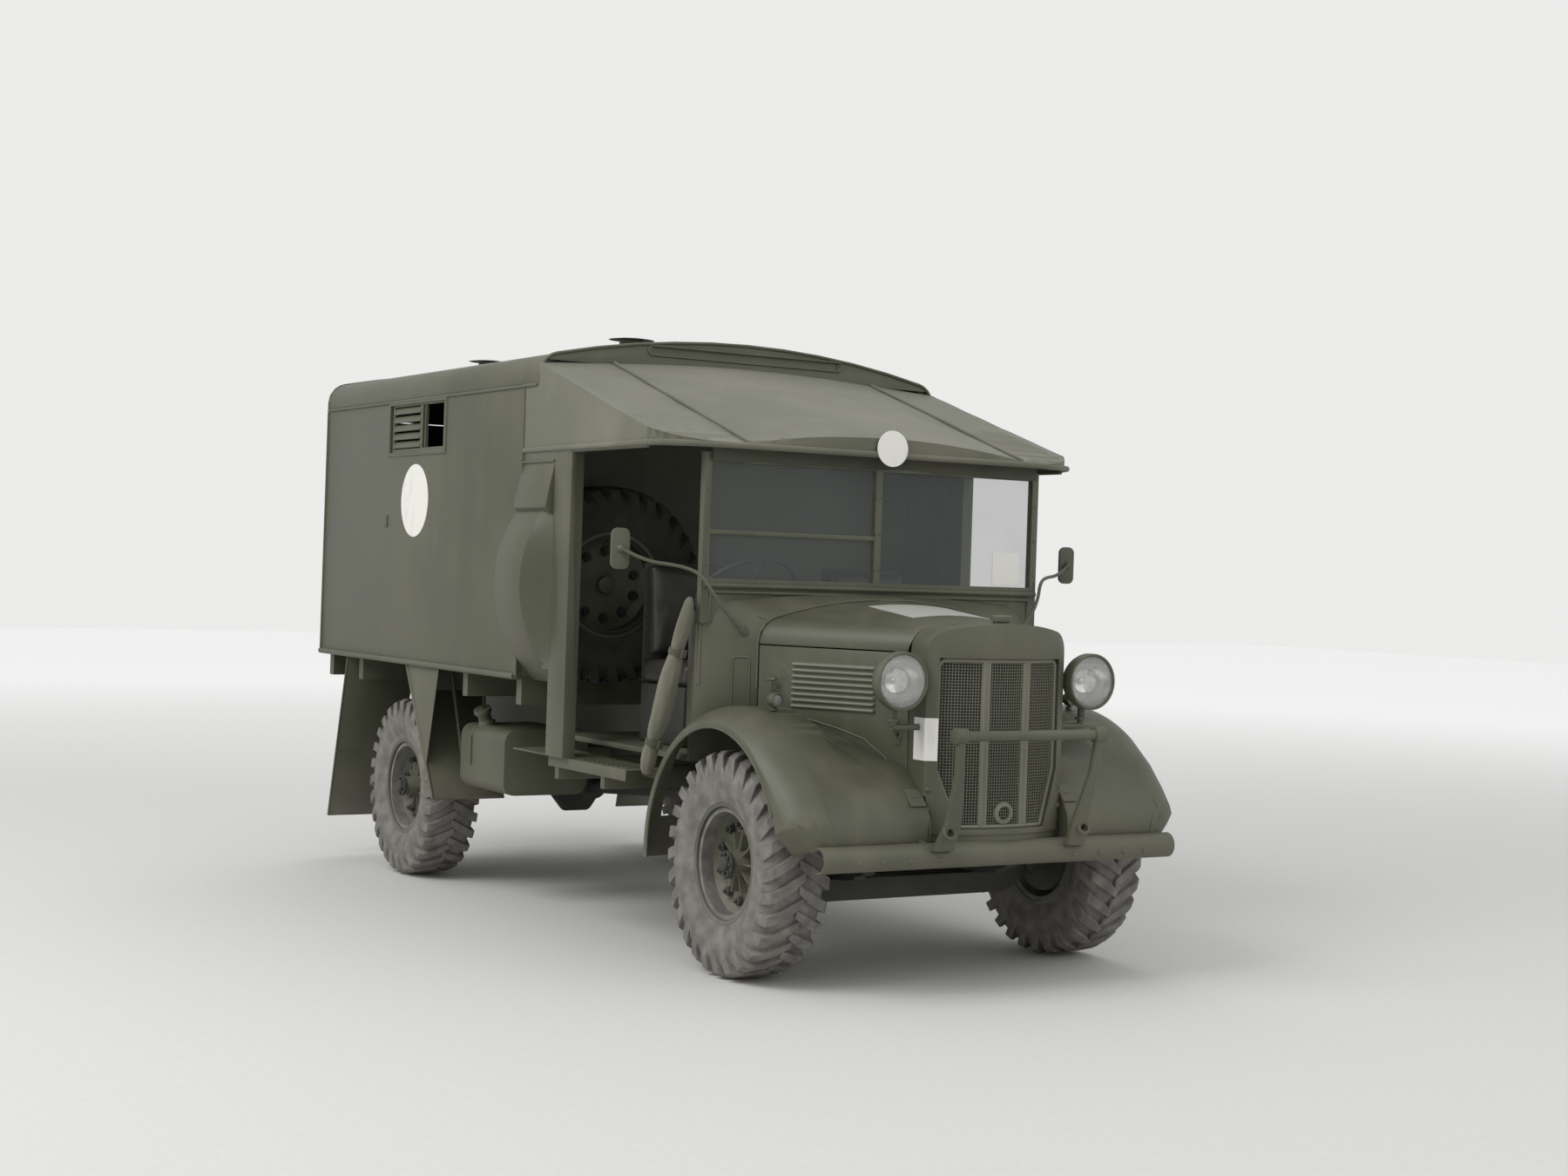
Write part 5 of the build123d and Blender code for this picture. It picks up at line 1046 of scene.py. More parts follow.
@dataclass
class CrossCountryTyre:
    """A tyre with deep chevron bars, drawn round +X and placed at each wheel."""

    radius: float = TYRE_RADIUS
    width: float = 0.280
    rim: float = 0.243
    bead_half: float = 0.102
    depth: float = 0.021
    bars: int = 28
    steps: int = 84
    bar_wide: float = 0.052
    bar_narrow: float = 0.036

    def carcass(self) -> Piece:
        """Turned casing with a shoulder and a lip at the rim."""
        bead, half, rim, base = self.bead_half, self.width / 2, self.rim, self.radius - self.depth
        side = [(bead - 0.004, rim - 0.030), (bead, rim + 0.004), (bead + 0.010, rim + 0.010),
                (half - 0.022, rim + 0.036), (half - 0.006, rim + 0.066), (half, rim + 0.098),
                (half - 0.003, rim + 0.130), (half - 0.010, rim + 0.158),
                (half - 0.018, base - 0.036), (half - 0.034, base - 0.012),
                (half - 0.064, base - 0.003), (0.0, base)]
        profile = side + [(-x, z) for x, z in reversed(side[:-1])]
        return Bench.smooth(Bench.turned("casing", profile, self.steps, closed=True), radians(40))

    def bar(self, hand: int) -> Piece:
        """One tread bar: from the middle out to the shoulder and down the flank.

        Args:
            hand: 1 or -1 for the side that it lies on.

        Returns:
            The bar at the top of the tyre.
        """
        half, top, base = self.width / 2, self.radius - 0.002, self.radius - self.depth
        wide, narrow = self.bar_wide, self.bar_narrow
        # Place along the axle, top, foot, breadth and shift of each section.
        rows = [(-0.012, top, base - 0.006, narrow, 0.000),
                (0.040, top - 0.001, base - 0.006, wide, 0.036),
                (half - 0.036, top - 0.004, base - 0.012, wide, 0.074),
                (half - 0.006, top - 0.018, base - 0.030, wide, 0.088),
                (half + 0.0005, top - 0.066, base - 0.070, wide, 0.094),
                (half - 0.002, top - 0.104, base - 0.100, wide * 0.92, 0.096)]
        Bench.deselect()
        bpy.ops.mesh.primitive_plane_add(size=0.01)
        piece = bpy.context.object
        Bench.settle(piece)
        with Bench.editing(outward=True):
            for number, (x, high, low, breadth, shift) in enumerate(rows):
                if number:
                    bpy.ops.mesh.extrude_region_move()
                mesh = bmesh.from_edit_mesh(piece.data)
                face = [f for f in mesh.faces if f.select][0]
                inner = x - 0.018 if x > half - 0.02 else x
                near, far = shift - breadth / 2, shift + breadth / 2
                ring = [(inner, near, low), (inner, far, low), (x, far, high), (x, near, high)]
                for vertex, place in zip(face.verts, ring):
                    vertex.co = place
                bmesh.update_edit_mesh(piece.data)
        for vertex in piece.data.vertices:
            turn = atan(vertex.co.y / vertex.co.z)
            vertex.co = (vertex.co.x * hand, vertex.co.z * sin(turn), vertex.co.z * cos(turn))
        if hand < 0:
            piece.data.flip_normals()
        return Bench.modify(piece, "BEVEL", width=0.003, segments=1, limit_method="ANGLE",
                            angle_limit=radians(30))

    def tread(self) -> Piece:
        """All the bars of both sides."""
        pitch = 2 * pi / self.bars
        rows = []
        for hand in HANDS:
            start = 0.5 * pitch if hand < 0 else 0.0
            turns = [Matrix.Rotation(start + pitch * number, 4, "X") for number in range(self.bars)]
            rows.append(Bench.copies(self.bar(hand), turns, f"bars_{hand}"))
        return Bench.smooth(Bench.join(rows, "tread"), radians(25))

    def build(self) -> None:
        """Makes the tyre once and stands a copy at each wheel."""
        master = Bench.join([self.carcass(), self.tread()], "tyre_master")
        for pattern, centre, turn, _ in WHEELS:
            node, wheel = pattern.format("tyre"), pattern.format("wheel")
            twin = Bench.twin(master, standing(centre, turn), f"{node}_tread")
            # The spare gets the darker rubber, painted shade for its shadowed pocket.
            rubber = "spare_rubber" if node.startswith("spare") else "tyre_rubber"
            Bench.place(twin, rubber, CARRIER[wheel], node)
        bpy.data.objects.remove(master)


@dataclass
class WheelFittings:
    """Nuts, hub flange, cap and lock ring on each wheel, drawn round +X."""

    nuts: int = 10
    nut_circle: float = 0.158
    bolts: int = 8
    bolt_circle: float = 0.043
    face: float = 0.014
    lock_ring: tuple[Pair, ...] = (
        (0.094, 0.2345), (0.098, 0.2300), (0.104, 0.2300), (0.108, 0.2345), (0.104, 0.2385),
        (0.098, 0.2385))
    flange: tuple[Pair, ...] = (
        (-0.012, 0.0), (-0.012, 0.054), (-0.002, 0.054), (0.0, 0.050), (0.0, 0.034),
        (0.012, 0.031), (0.018, 0.022), (0.021, 0.0))

    def ring_of(self, piece: Piece, count: int, name: str) -> Piece:
        """Copies a piece round the axle."""
        turns = [Matrix.Rotation(2 * pi * n / count, 4, "X") for n in range(count)]
        return Bench.copies(piece, turns, name)

    def stud(self) -> Piece:
        """One wheel nut on its washer, with the stud through it."""
        # Name, start and end along the axle, radius, sides, radius at the end.
        rods = [("washer", -0.002, 0.004, 0.024, 24, None), ("nut", 0.003, 0.026, 0.020, 6, None),
                ("end", 0.020, 0.042, 0.010, 12, 0.008)]
        parts = [Bench.rod(name, (self.face + start, 0, self.nut_circle),
                           (self.face + end, 0, self.nut_circle), radius, sides, end_radius)
                 for name, start, end, radius, sides, end_radius in rods]
        return Bench.soften(Bench.join(parts, "stud"), 0.0012, 1)

    def hub(self, out: float) -> Piece:
        """Hub flange with its bolts and domed cap.

        Args:
            out: How far the CAD hub reaches out of the wheel's middle.

        Returns:
            The joined fittings.
        """
        disc = Bench.turned("flange", [(out + x, z) for x, z in self.flange], 32)
        place = self.bolt_circle
        bolt = Bench.rod("bolt", (out - 0.003, 0, place), (out + 0.008, 0, place), 0.0075, 6)
        bolts = self.ring_of(Bench.soften(bolt, 0.0008, 1), self.bolts, "bolts")
        return Bench.join([Bench.smooth(disc), bolts], "hub")

    def build(self) -> None:
        """Makes the fittings for every wheel."""
        for pattern, centre, turn, out in WHEELS:
            node = pattern.format("wheel")
            parts = [self.ring_of(self.stud(), self.nuts, "studs"),
                     Bench.smooth(Bench.turned("lock_ring", self.lock_ring, 72, closed=True)),
                     Bench.rod("valve", (0.030, 0, 0.205), (0.074, 0, 0.222), 0.0045, 10, 0.003)]
            if out > 0:
                parts.append(self.hub(out))
            piece = Bench.join(parts, f"{node}_fittings")
            piece.data.transform(standing(centre, turn))
            Bench.place(piece, "chassis_paint", CARRIER[node])


@dataclass
class Grille:
    """Woven wire in a beaded frame with two upright bars and the crank ring."""

    pitch: float = 0.012
    top: float = 1.353
    low: float = 0.662
    bend: float = 0.900
    top_half: float = 0.300
    low_half: float = 0.215
    inset: float = 0.004
    bar_y: float = 0.099
    # Reach of the bow and place across for each corner of an upright bar.
    bar_half: tuple[Pair, ...] = (
        (0.611, 0.021), (0.619, 0.021), (0.626, 0.015), (0.626, 0.009), (0.620, 0.003))
    crank: tuple[Pair, ...] = (
        (2.534, 0.751), (2.546, 0.751), (2.550, 0.754), (2.547, 0.759), (2.546, 0.767),
        (2.542, 0.770), (2.534, 0.770))
    crank_z: float = 0.724

    def half(self, z: float) -> float:
        """Half width of the opening at a height."""
        share = (z - self.low) / (self.bend - self.low)
        spread = self.top_half - self.low_half
        return self.top_half if z > self.bend else self.low_half + share * spread

    def low_at(self, y: float) -> float:
        """Lowest height of the opening at a distance from the middle."""
        spread = self.top_half - self.low_half
        return self.low + max(0.0, abs(y) - self.low_half) / spread * (self.bend - self.low)

    def frame_line(self) -> list[Point]:
        """Middle of the bead round the opening, with rounded top corners."""
        edge, turn = 0.008, 0.030
        half, top = self.top_half - edge, self.top - edge
        right = [(self.low_half - edge, self.low + edge), (half, self.bend), (half, top - turn)]
        right += [(half - turn * (1 - cos(a)), top - turn * (1 - sin(a))) for a in (0.4, 0.8, 1.2)]
        right += [(half - turn, top)] + [(half * k, top) for k in (0.6, 0.3)]
        low = [(self.low_half * k, self.low + edge) for k in (0.0, 0.35, 0.7)]
        line = [*low, *right, (0.0, top)] + [(-y, z) for y, z in reversed([*low[1:], *right])]
        return [(bow(y, 0.618), y, z) for y, z in line]

    def weave(self) -> Piece:
        """Upright wires, and level ones just behind them."""
        lines = []
        columns = int(self.top_half / self.pitch)
        for number in range(-columns, columns + 1):
            y = number * self.pitch
            ends = (self.low_at(y) + self.inset, self.top - self.inset)
            lines.append([(bow(y, 0.617), y, z) for z in ends])
        for number in range(1, int((self.top - self.low) / self.pitch) + 1):
            z = self.low + number * self.pitch
            half = self.half(z) - self.inset
            lines.append([(bow(half * k / 4, 0.6156), half * k / 4, z) for k in range(-4, 5)])
        return Bench.curve("mesh", lines, 0.0021, 0)

    def build(self) -> None:
        """Makes the whole grille in the place of the CAD lattice."""
        parts = [self.weave(), Bench.tube("bead", self.frame_line(), 0.0095, closed=True)]
        section = [(reach, across) for reach, across in self.bar_half]
        section += [(reach, -across) for reach, across in reversed(self.bar_half)]
        for middle in (-self.bar_y, self.bar_y):
            corners = [(bow(middle, reach), middle + across, self.low + 0.006)
                       for reach, across in section]
            bar = Bench.slab("bar", corners, (0, 0, self.top - self.low - 0.012))
            parts.append(Bench.soften(bar, 0.002, 1))
        ring = [(x, 0, z) for x, z in self.crank]
        crank = Bench.lathe("crank", ring, (0, 0, self.crank_z), Axis.X.value, 40, closed=True)
        parts.append(Bench.smooth(crank))
        Bench.place(Bench.join(parts, "grille_wire"), "grille_steel", ROOT, "grille")
        core = Bench.cad_copy("radiator_core", 0.002)
        Bench.place(core, "core_fins", ROOT, "radiator_core")


@dataclass
class BonnetTrim:
    """Catches, seam rolls, louvre lips and marking plates on the bonnet and scuttle."""

    # Place along the bonnet, height of the handle, height of the plate's point.
    catches: tuple[Point, ...] = ((1.692, 1.224, 1.134), (2.262, 1.083, 1.006))
    catch_plate: tuple[Pair, ...] = (
        (0.022, 0.012), (0.024, -0.004), (0.013, -0.042), (0.0, -0.050), (-0.013, -0.042),
        (-0.024, -0.004), (-0.022, 0.012), (0.0, 0.026))
    louvre_count: int = 8
    louvre_top: float = 1.2925
    louvre_pitch: float = 0.025
    louvre_run: Point = (1.806, 1.995, 2.184)
    lower_line: tuple[Pair, ...] = (
        (1.700, 1.112), (1.800, 1.092), (1.884, 1.0655), (2.020, 1.036), (2.141, 1.001),
        (2.234, 0.936), (2.293, 0.879), (2.310, 0.862), (2.327, 0.857), (2.334, 0.868),
        (2.335, 0.884), (2.335, 1.080), (2.335, 1.340))
    filler_cap: tuple[Pair, ...] = (
        (2.482, 1.505), (2.525, 1.505), (2.525, 1.524), (2.516, 1.530), (2.488, 1.532),
        (2.482, 1.533))
    apron_side: tuple[Pair, ...] = (
        (2.437, 0.812), (2.482, 0.767), (2.520, 0.706), (2.527, 0.657), (2.517, 0.599),
        (2.440, 0.599))
    # Angle about the front axle in degrees and distance from it.
    apron_strip: tuple[Pair, ...] = ((31.0, 0.6845), (28.0, 0.6945), (24.0, 0.7085))

    def catch(self, x: float, high: float, low: float) -> Piece:
        """T-handled catch on a drop-shaped plate on the left upright side.

        Args:
            x: Place along the bonnet of its upper end.
            high: Height of the handle.
            low: Height of the plate's point.

        Returns:
            The joined catch.
        """
        out = Vector((BONNET_TAPER, BONNET_RUN, 0.0)).normalized()
        run = Vector((BONNET_RUN, -BONNET_TAPER, 0.0)).normalized()
        foot = Vector((x + 0.028, bonnet_side(x + 0.028), (high + low) / 2 - 0.012))
        corners = [tuple(foot + run * u + Vector((0, 0, v)) - out * 0.002)
                   for u, v in self.catch_plate]
        top = Vector((foot.x, foot.y, high)) + out * 0.030
        parts = [Bench.slab("plate", corners, tuple(out * 0.006)),
                 Bench.rod("stem", tuple(foot), tuple(foot + out * 0.022), 0.009),
                 Bench.rod("lever", tuple(foot + out * 0.020), tuple(top), 0.007, 16, 0.005),
                 Bench.rod("cross", tuple(top - run * 0.024), tuple(top + run * 0.024), 0.007)]
        return Bench.soften(Bench.join(parts, "catch"), 0.0015)

    def mouldings(self) -> None:
        """Roll at the bonnet's rear, and the beads round the windscreen's foot."""
        rear = [(BONNET_REAR - 0.009, y, z) for y, z in roof_line(0.660, 1.374, 0.114, 17, 1.180)]
        # One line of each pair, then its radius.
        lines = [(rear, 0.0055), ([(1.522, -0.872, 1.612), (1.522, 0.872, 1.612)], 0.012),
                 ([(1.522, -0.835, 1.584), (1.522, 0.835, 1.584)], 0.007)]
        for hand in HANDS:
            lines.append(([(1.484, hand * 0.862, 1.190), (1.484, hand * 0.862, 1.604)], 0.011))
            lines.append(([(1.512, hand * 0.835, 1.480), (1.520, hand * 0.835, 1.586)], 0.007))
        Bench.place(Bench.tubes(lines, "scuttle_mouldings"))

    def louvres(self) -> None:
        """Rounded lips of the cooling louvres in both upright sides, in lighter paint as a painted
        highlight.
        """
        heights = [self.louvre_top - self.louvre_pitch * n for n in range(self.louvre_count)]
        lines = [([(x, bonnet_side(x, 0.0062), z) for x in self.louvre_run], 0.0068)
                 for z in heights]
        # The lips' lighter paint is a painted highlight.
        Bench.both(Bench.tubes(lines, "lips"), "louvre_lips", "worn_paint")

    def panels(self) -> None:
        """Raised round-cornered panel on each side of the cowl."""
        corner, wide, tall, middle_z = 0.014, 0.037, 0.116, 1.195
        quarter = [(wide - corner * (1 - cos(a)), tall - corner * (1 - sin(a)))
                   for a in (0.0, 0.4, 0.8, 1.2, pi / 2)]
        rear, front = Vector(COWL_REAR), Vector(COWL_FRONT)
        middle, step = (front + rear) / 2, (front - rear).normalized()
        line = [(middle.x + step.x * u, middle.y + step.y * u, middle_z + v)
                for u, v in rounded(quarter)]
        Bench.both(Bench.tube("panel", line, 0.0035, closed=True), "cowl_panels")

    def lower_edge(self) -> None:
        """Rolled lower edge of the bonnet's upright sides, over the wings."""
        line = [(x, bonnet_side(x, 0.0005), z) for x, z in self.lower_line]
        Bench.both(Bench.tube("edge", line, 0.0042), "bonnet_edges")

    def aprons(self) -> None:
        """Plates that close the radiator shell to the wings and to the bumper."""
        side = Bench.slab("apron", [(x, 0.3430, z) for x, z in self.apron_side], (0, 0.003, 0))
        axle_x, axle_z = FRONT_AXLE
        strip = [(radians(angle), radius) for angle, radius in self.apron_strip]
        over = [(axle_x + radius * cos(angle), 0.3455, axle_z + radius * sin(angle))
                for angle, radius in strip]
        under = [(x - 0.004, y, z - 0.002) for x, y, z in reversed(over)]
        cover = Bench.slab("cover", [*over, *under], (0, 0.072, 0))
        sides = Bench.copies(Bench.join([side, cover], "side"), MIRRORED, "sides")
        across = [-0.33 + 0.066 * number for number in range(11)]
        edge = [(bow(y, 0.632), y, 0.612) for y in across]
        edge += [(bow(y, 0.622), y, 0.612) for y in reversed(across)]
        pan = Bench.slab("pan", edge, (0, 0, 0.030))
        whole = Bench.soften(Bench.join([sides, pan], "shell_aprons"), 0.001, 1)
        Bench.place(whole)

    def patch(self) -> None:
        """Blank pale rectangle on the bonnet's top and blank plates where markings were."""
        middle, long, wide = 1.95, 0.36, 0.40

        def lay(u: float, v: float) -> Point:
            """Place on the bonnet's skin for a point of the grid."""
            x, y = middle + u * long, v * wide
            return x, y, crown(x, y) + 0.0012
        panel = Bench.laid("bonnet_panel", 12, 16, lay)
        Bench.modify(panel, "SOLIDIFY", thickness=0.0014, offset=-1.0)
        Bench.place(Bench.smooth(panel), "pale_panel", "bonnet")
        inner = [(2.384, -0.3456), (2.4605, -0.3456), (2.4765, -0.3210), (2.4885, -0.3000)]
        outer = [(2.384, -0.3472), (2.4613, -0.3472), (2.4782, -0.3216), (2.4902, -0.3004)]
        corners = [(x, y, 0.937) for x, y in [*inner, *reversed(outer)]]
        wrap = Bench.slab("wrap", corners, (0, 0, 0.172))
        sign = Bench.block("sign", (SCREEN_FRONT, 0.640, 1.645),
                           (SCREEN_FRONT + 0.002, 0.792, 1.803))
        Bench.place(Bench.join([wrap, sign], "blank_plates"), "white_enamel")

    def build(self) -> None:
        """Places the trim."""
        pair = Bench.join([self.catch(*row) for row in self.catches], "catches")
        Bench.both(pair, "bonnet_catches")
        self.mouldings()
        self.louvres()
        self.panels()
        self.lower_edge()
        self.aprons()
        line = [(x, 0, z) for x, z in self.filler_cap]
        cap = Bench.lathe("cap", line, (line[0][0], 0, 1.5), Axis.Z.value, 40)
        Bench.place(Bench.smooth(cap))
        self.patch()


@dataclass
class Lamps:
    """Headlamps with real bowls, reflectors and fluted glasses, and the wing lamps."""

    place: Point = (2.490, 0.476, 1.258)
    radius: float = 0.118
    wing: Point = (1.960, 0.760, 1.152)
    # Profiles of (place along the axis, distance from it).
    dish: tuple[Pair, ...] = (
        (-0.014, 0.108), (-0.040, 0.104), (-0.070, 0.090), (-0.096, 0.068), (-0.114, 0.040),
        (-0.120, 0.0), (-0.123, 0.0), (-0.117, 0.042), (-0.099, 0.070), (-0.073, 0.092),
        (-0.042, 0.1065), (-0.014, 0.1095))
    bulb: tuple[Pair, ...] = (
        (-0.118, 0.0), (-0.118, 0.010), (-0.096, 0.010), (-0.084, 0.014), (-0.070, 0.011),
        (-0.064, 0.0))
    cup: tuple[Pair, ...] = (
        (-0.036, 0.0), (-0.034, 0.012), (-0.024, 0.024), (-0.008, 0.030), (0.022, 0.031),
        (0.030, 0.029), (0.030, 0.025), (0.020, 0.025), (0.018, 0.0))
    cup_glass: tuple[Pair, ...] = (
        (0.018, 0.0), (0.018, 0.0245), (0.026, 0.0240), (0.033, 0.014), (0.035, 0.0))
    stalk: tuple[Pair, ...] = ((0.014, -0.044), (0.014, -0.036), (0.008, -0.032), (0.008, -0.024))
    eye_rings: tuple[Pair, ...] = (
        (0.0135, 0.0), (0.0125, 0.012), (0.0100, 0.022), (0.0125, 0.026), (0.0105, 0.034),
        (0.0120, 0.038))
    flute_pitch: float = 0.0125
    flute_depth: float = 0.0016
    flute_from: float = 0.042

    def bowl(self) -> Piece:
        """Thin rounded bowl with its rim roll."""
        r = self.radius
        outer = [(0.000, r - 0.003), (-0.010, r + 0.001), (-0.036, r + 0.001), (-0.058, r * 0.94),
                 (-0.080, r * 0.83), (-0.108, r * 0.66), (-0.136, r * 0.45), (-0.158, r * 0.24),
                 (-0.169, 0.012), (-0.170, 0.0)]
        inner = [(-0.160, 0.0), (-0.150, 0.014), (-0.128, r * 0.42), (-0.100, r * 0.64),
                 (-0.072, r * 0.81), (-0.040, r * 0.93), (-0.012, r - 0.006)]
        shell = Bench.turned("shell", [*outer, *inner], 64, closed=True)
        roll = [(0.0005 + u, r - 0.005 + v) for u, v in circle(0.006, 10, 10)]
        lip = Bench.turned("lip", roll, 64, closed=True)
        return Bench.smooth(Bench.join([shell, lip], "bowl"))

    def reflector(self) -> Piece:
        """Silvered dish and the bulb in front of it."""
        parts = [Bench.turned("dish", self.dish, 56, closed=True),
                 Bench.turned("bulb", self.bulb, 24)]
        return Bench.smooth(Bench.join(parts, "reflector"))

    def glass(self) -> Piece:
        """Lens with upright flutes round a bull's-eye."""
        eye, rim, bands = self.eye_rings[-1][1], self.radius - 0.0075, 14
        rings = [*self.eye_rings]
        rings += [(0.0115 - 0.012 * (k / bands) ** 2, eye + (rim - eye) * k / bands)
                  for k in range(1, bands + 1)]
        back = [(x - 0.0035, z) for x, z in reversed(rings)]
        piece = Bench.turned("lens", [*rings, *back], 128, closed=True)
        for vertex in piece.data.vertices:
            past = (vertex.co.y ** 2 + vertex.co.z ** 2) ** 0.5 - self.flute_from
            if past > 0:
                wave = self.flute_depth * cos(vertex.co.y * 2 * pi / self.flute_pitch)
                vertex.co.x += wave * min(1.0, past / 0.01)
        return Bench.smooth(piece)

    def build(self) -> None:
        """Places all the lamps."""
        x, y, z = self.place
        heads, wings = either_side(self.place), either_side(self.wing)
        stem = x - 0.070
        parts = [Bench.copies(self.bowl(), heads, "bowls")]
        for hand in HANDS:
            out = hand * y
            parts.append(Bench.tube("stem", [(stem, out, z - 0.09), (stem, out, 1.078)], 0.016))
            parts.append(Bench.rod("foot", (stem, out, 1.094), (stem, out, 1.106), 0.026, 8))
            arm = [(stem, hand * 0.352, 1.070), (stem, hand * (y + 0.004), 1.070)]
            parts.append(Bench.tube("arm", arm, 0.0135))
        parts.append(Bench.copies(Bench.smooth(Bench.turned("cup", self.cup, 32)), wings, "cups"))
        stalk = Bench.smooth(Bench.turned("stalk", self.stalk, 20, Axis.Z))
        parts.append(Bench.copies(stalk, wings, "stalks"))
        Bench.place(Bench.join(parts, "lamp_bodies"), "olive_paint", ROOT, "lamps")
        dishes = Bench.copies(self.reflector(), heads, "reflectors")
        Bench.place(dishes, "lamp_silver")
        small = Bench.smooth(Bench.turned("small", self.cup_glass, 32))
        little = Bench.copies(small, wings, "wing_lamp_glasses")
        large = Bench.copies(self.glass(), heads, "glasses")
        glasses = Bench.join([large, little], "lamp_glasses")
        Bench.place(glasses, "lamp_glass", ROOT, "headlamp_lenses")


@dataclass
class Mirrors:
    """Rounded mirror plates on bent arms."""

    arm: tuple[Point, ...] = (
        (1.592, 0.690, 1.395), (1.590, 0.800, 1.500), (1.570, 0.858, 1.590),
        (1.535, 0.892, 1.660), (1.470, 0.965, 1.692), (1.410, 1.095, 1.704),
        (1.362, 1.176, 1.752))
    centre: Point = (1.347, 1.183, 1.755)
    half: Pair = (0.043, 0.088)
    corner: float = 0.030
    # Place behind the glass and above the middle.
    boss: tuple[Pair, ...] = ((0.006, 0.020), (0.012, 0.018), (0.022, 0.011), (0.026, 0.0))

    def build(self) -> None:
        """Makes both mirrors and their glasses."""
        x, y, z = self.centre
        across, up = self.half[0] - self.corner, self.half[1] - self.corner
        outline = rounded([(across + u, up + v) for u, v in circle(self.corner, 6, 20)])
        body = Bench.slab("plate", [(x - 0.007, y + u, z + v) for u, v in outline], (0.014, 0, 0))
        inset = [(x - 0.0075, y + u * 0.93, z + v * 0.965) for u, v in outline]
        face = Bench.slab("face", inset, (0.002, 0, 0))
        line = [(x + back, y, z + rise) for back, rise in self.boss]
        boss = Bench.lathe("boss", line, (x, y, z), Axis.X.value, 24)
        arm = Bench.tube("arm", self.arm, 0.008, smooth=True)
        foot = Bench.rod("foot", (1.592, 0.700, 1.410), (1.592, 0.722, 1.432), 0.019, 16)
        left = Bench.join([Bench.soften(body, 0.003), Bench.smooth(boss), arm, foot], "mirror")
        Bench.both(left, "mirror_bodies", "olive_paint", "mirrors")
        Bench.both(face, "mirror_faces", "lamp_silver")


@dataclass
class Canopy:
    """Proofed canvas over the cab with its piping, rolled hem and front flap."""

    grid: float = 0.045
    seam_y: float = 0.72
    span: float = 1.338
    sag: float = 0.010
    # Front half of the left hem.
    hem: tuple[Pair, ...] = (
        (0.125, 1.099), (0.80, 1.099), (1.400, 1.099), (1.480, 1.068), (1.556, 0.957),
        (1.590, 0.850), (1.600, 0.72), (1.602, 0.36), (1.602, 0.0))

    def net(self, piece: Piece) -> None:
        """Cuts a skin into a fine net along all three axes."""
        Bench.pick(piece)
        spans = ((Axis.X, 0.125, 1.60), (Axis.Y, -1.09, 1.10), (Axis.Z, 2.22, 2.60))
        with Bench.editing():
            for axis, low, high in spans:
                normal = Vector(axis.value)
                for number in range(int((high - low) / self.grid) + 1):
                    bpy.ops.mesh.select_all(action="SELECT")
                    place = normal * (low + number * self.grid)
                    bpy.ops.mesh.bisect(plane_co=place, plane_no=normal)

    def sheet(self) -> None:
        """Lets the cloth of the roof's skin sag between the bows."""
        piece = Bench.cad_copy("cab_canopy", 0.0)
        piece.name = "canopy_canvas"
        self.net(piece)
        for vertex in piece.data.vertices:
            x, y, z = vertex.co
            if z < CANVAS_EDGE_Z or x < 0.27:
                continue
            ahead = sin(pi * (x - HEADER) / self.span) ** 2
            sag = self.sag * ahead * (0.5 + 0.5 * cos(pi * min(1.0, abs(y) / self.seam_y)))
            broad = noise.noise(Vector((x * 5.0, y * 3.0, 1.7))) * 0.0035
            fine = noise.noise(Vector((x * 14.0, y * 9.0, 4.2))) * 0.0012
            pucker = (broad + fine) * (1.0 if z > 2.23 else 0.2)
            vertex.co.z = z - sag * 0.6 + pucker - 0.002
        Bench.place(Bench.smooth(piece, radians(35)), "canvas", ROOT, "cab_canopy")

    def front_flap(self) -> None:
        """Short strip of darker canvas hung over the windscreen's top edge; its darkness is painted
        shade under the canopy's hem.
        """
        wide = 1.70

        def hang(u: float, v: float) -> Point:
            """Place on the flap for a point of the grid."""
            y, down = u * wide, 1 - (v + 0.5)
            wave = noise.noise(Vector((y * 3.0, 0.0, 7.0)))
            x = 1.530 + 0.008 * sin(y * 23.0) * down + 0.012 * wave
            return x, y, 2.206 - down * (0.058 + 0.016 * wave)
        flap = Bench.laid("screen_flap", 64, 4, hang)
        Bench.modify(flap, "SOLIDIFY", thickness=0.0022, offset=0.0)
        # The flap's darker canvas is painted shade under the canopy's hem.
        Bench.place(Bench.smooth(flap), "canvas_dark")

    def build(self) -> None:
        """Makes the canvas and everything sewn to it."""
        self.sheet()
        left = [(x, y, CANVAS_EDGE_Z) for x, y in self.hem]
        lines = [([*left, *[(x, -y, z) for x, y, z in reversed(left[:-1])]], 0.014)]
        for hand in HANDS:
            y = hand * self.seam_y
            seam = [(HEADER + 0.004, y, 2.645), (1.35, y, 2.307), (1.598, y, 2.231),
                    (CANVAS_FRONT, y, CANVAS_EDGE_Z)]
            lines.append((seam, 0.0075))
        Bench.place(Bench.tubes(lines, "canopy_rolls"), "canvas")
        self.front_flap()


